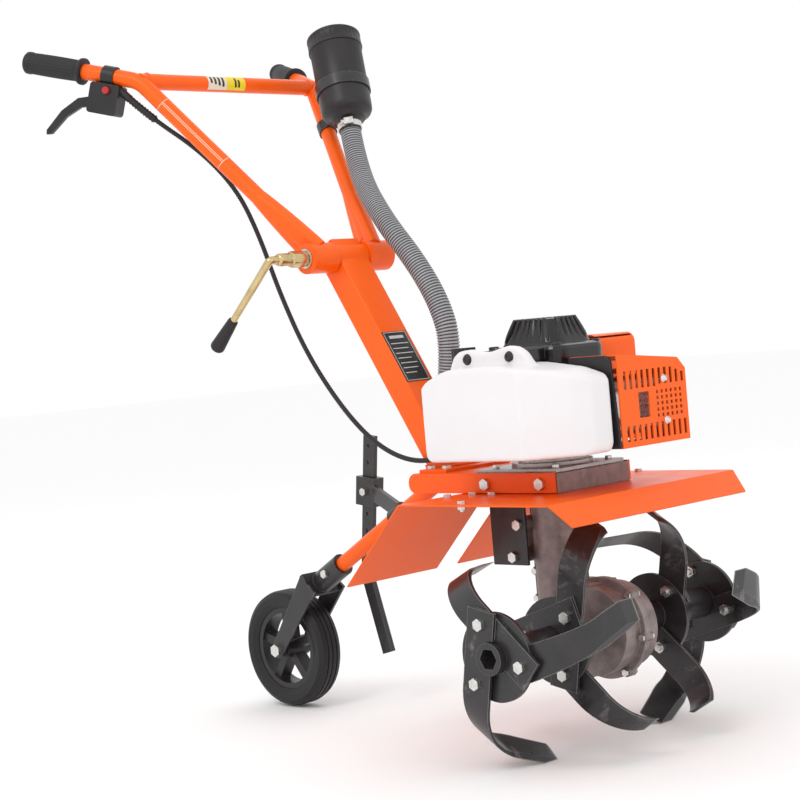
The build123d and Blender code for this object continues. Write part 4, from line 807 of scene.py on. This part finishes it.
def tank():
    """Blow-moulded tank: chamfered front corner, sloping shoulders, two ears and a filler neck.

    Its plan and side outlines are cut from each other, then remeshed and smoothed.
    """
    x0, x1, y0, y1, z0, z1 = TANK
    plan = [(x0, y1), (x1, y1), (x1, -88), (58, -112), (16, y0), (x0, y0)]
    bm = bmesh.new()
    add_prism(bm, [at(x, y, z0) for x, y in plan], Vector((0, 0, (z1 - z0) * MM)))
    side = [(x0 + 9, z0 - 1), (x1 - 9, z0 - 1), (x1 - 3, z0 + 3), (x1 + 1, z0 + 12),
            (x1 + 1, 304), (x1 - 5, 313), (40, 322), (-14, 330), (-76, z1 + 3), (-104, 328),
            (-128, 319), (x0 - 1, 310), (x0 - 1, z0 + 11), (x0 + 3, z0 + 3)]
    cut = bmesh.new()
    add_prism(cut, [at(x, y0 - 5, z) for x, z in side], Vector((0, (y1 - y0 + 10) * MM, 0)))
    blank = link("tank_side", to_mesh("tank_side", cut))
    body = baked(to_mesh("tank_plan", bm),
                 ("BOOLEAN", {"operation": "INTERSECT", "object": blank, "solver": "EXACT"}))
    bpy.data.objects.remove(blank)
    extra = bmesh.new()
    extra.from_mesh(body)
    ears = [(-136, 312), (-134, 328), (-126, 344), (-116, 351), (-96, 352), (-80, 348),
            (-66, 347.5), (-50, 351), (-38, 353.5), (-24, 352), (-12, 345), (-3, 332), (4, 318),
            (4, 312)]
    add_prism(extra, [at(x, EAR_FACE_Y, z) for x, z in ears], Vector((0, EAR_THICK * MM, 0)))
    neck = [(0, 0), (13.5, 0), (13.5, 10), (10, 12), (10, 24), (0, 24)]
    add_lathe(extra, at(*FILLER), UP, neck, 32)
    mesh = baked(to_mesh("tank_blank", extra),
                 ("REMESH", {"mode": "VOXEL", "voxel_size": TANK_VOXEL}),
                 ("SMOOTH", {"factor": 0.5, "iterations": 34}))
    piece("tank_moulding", mesh, "frame", "tank_plastic", replaces=("fuel_tank",))


def tank_screws():
    """Round black caps over the screws of the tank's ears."""
    bm = bmesh.new()
    cap = [(2.4, 0), (6.9, 0), (7.1, 1.6), (6.6, 2.2), (5.6, 2.2), (5.4, 3.6), (5.1, 4.6),
           (4.2, 5.0), (2.2, 5.0), (2.0, 4.6), (0, 4.6)]
    for x, z in EAR_SCREWS:
        add_lathe(bm, at(x, EAR_FACE_Y + 1.9, z), (0, -1, 0), cap, 36)
    piece("tank_screw_caps", to_mesh("screw_caps", bm), "frame", "black_plastic")


def rounded_rect(cx, cy, w, d, r):
    """Points round a rectangle of that centre, width and depth, with corners of radius r."""
    pts = []
    for qx, qy, a0 in ((1, 1, 0), (-1, 1, 90), (-1, -1, 180), (1, -1, 270)):
        mx, my = cx + qx * (w / 2 - r), cy + qy * (d / 2 - r)
        for k in range(CORNER_STEPS + 1):
            a = math.radians(a0 + 90 * k / CORNER_STEPS)
            pts.append((mx + r * math.cos(a), my + r * math.sin(a)))
    return pts


def add_stack(bm, levels):
    """A closed solid through rounded rectangles: (centre x, centre y, width, depth, radius, z)."""
    rings = [[bm.verts.new(at(x, y, lv[5])) for x, y in rounded_rect(*lv[:5])] for lv in levels]
    bm.faces.new(list(reversed(rings[0])))
    bm.faces.new(rings[-1])
    for low, high in zip(rings, rings[1:]):
        for k in range(len(low)):
            n = (k + 1) % len(low)
            bm.faces.new((low[k], low[n], high[n], high[k]))


def starter():
    """Glossy starter cover: round skirt, square deck with bosses, and a tapered, ribbed cap."""
    x, y = STARTER_X, STARTER_Y
    bm = bmesh.new()
    skirt = [(52, 0), (54.6, 0), (56, 1.4), (56, 30), (50, 32), (46, 32), (46, 2)]
    add_lathe(bm, at(x, y, 306.5), UP, skirt, 72)
    add_stack(bm, [(x, -2, 118, 90, 18, 326), (x, -2, 123, 95, 20, 328),
                   (x, -2, 124, 96, 20, 344), (x, -2, 121, 93, 19, 347.5),
                   (x, -2, 114, 88, 18, 349.5), (x, -2, 110, 86, 18, 350)])
    add_stack(bm, [(x, y, 96, 82, 20, 349), (x, y, 92, 78, 20, 353), (x, y, 70, 58, 17, 378),
                   (x, y, 67, 55, 15, 380.6), (x, y, 61, 49, 13, 381.4)])

    def rib(low, high, tip):
        """A vent rib that climbs the cap's side and ends on its top."""
        line = [at(*low).lerp(at(*high), k / 4) for k in range(5)] + [at(*tip)]
        add_tube(bm, line, lambda j, d: RIB_RADII[j], 10)

    for i in range(-3, 4):
        for s in (-1, 1):
            rib((x + i * 11.4, y + s * 37.6, 355), (x + i * 7.9, y + s * 28.6, 381),
                (x + i * 7.4, y + s * 23, 382))
    for i in range(-2, 3):
        for s in (-1, 1):
            rib((x + s * 44.6, y + i * 11.4, 355), (x + s * 34.6, y + i * 7.9, 381),
                (x + s * 28, y + i * 7.4, 382))
    button = [(0, 0), (12, 0), (12, 1.2), (10.6, 2.2), (3, 2.4), (0, 2.2)]
    add_lathe(bm, at(x, y, 380.6), UP, button, 40)
    boss = [(0, 0), (6.5, 0), (6.5, 5), (5.6, 6), (3.2, 6), (2.8, 4.4), (0, 4.4)]
    for cx, _ in EAR_SCREWS:
        add_stack(bm, [(cx, -69, 11, 43, 2, 332), (cx, -69, 14, 45.6, 3, 333.5),
                       (cx, -69, 14, 45.6, 3, 346.5), (cx, -69, 11, 43, 2, 348)])
    for cx in (x - 50, x + 50):
        for cy in (-38, 34):
            add_lathe(bm, at(cx, cy, 346), UP, boss, 24)
    piece("starter_moulding", to_mesh("starter", bm), "frame", "black_plastic", MAT["gloss_black"],
          smooth=False, replaces=("starter_cover",))


def cover_studs():
    """Bright heads of the two studs that hold the muffler cover, with washers."""
    bm = bmesh.new()
    stud = [(0, -3), (4.6, -3), (4.8, 0.4), (4.4, 0.9), (3.3, 0.9), (3.3, 3.4), (2.8, 3.9),
            (0, 3.9)]
    for y, z in COVER_STUDS:
        add_lathe(bm, at(COVER_X, y, z), FORE, stud, 24)
    piece("cover_stud_heads", to_mesh("studs", bm), "frame", "zinc")


tank()
tank_screws()
starter()
cover_studs()


# ---------------------------------------------------------------- light, floor, ending
LAMPS = (  # name, place in metres, watts, width in metres
    ("key", (0.4, -2.4, 2.8), 22.0, 1.2),
    ("front", (2.8, -0.8, 1.6), 6.0, 1.6),
    ("back", (-1.6, 2.4, 2.4), 6.0, 2.0),
)
FLOOR_REACH, FLOOR_GAP = 14.0, 0.0004  # metres


def lights():
    """Soft white light from all round, and three area lamps aimed at the object's middle."""
    world = bpy.data.worlds.new("studio")
    world.use_nodes = True
    world.node_tree.nodes["Background"].inputs["Color"].default_value = (1, 1, 1, 1)
    world.node_tree.nodes["Background"].inputs["Strength"].default_value = 1.0
    bpy.context.scene.world = world
    bpy.context.scene.view_settings.view_transform = "Standard"
    middle = (Vector(CAD_BOX[0]) + Vector(CAD_BOX[1])) / 2
    for name, place, power, size in LAMPS:
        data = bpy.data.lights.new(name, "AREA")
        data.energy = power
        data.size = size
        lamp = link(name, data)
        lamp.location = Vector(place)
        lamp.rotation_euler = (middle - lamp.location).to_track_quat("-Z", "Y").to_euler()


def floor():
    """A plain pale floor just under the object."""
    z = CAD_BOX[0][2] - FLOOR_GAP
    bm = bmesh.new()
    bm.faces.new([bm.verts.new((x * FLOOR_REACH, y * FLOOR_REACH, z)) for x, y in SQUARE])
    obj = link("floor", to_mesh("floor", bm))
    obj.data.materials.append(finish("floor", (0.97, 0.97, 0.97), 0.85, specular=0.1,
                                     vary=0.005, grain=40.0, bump=0.0))


lights()
floor()
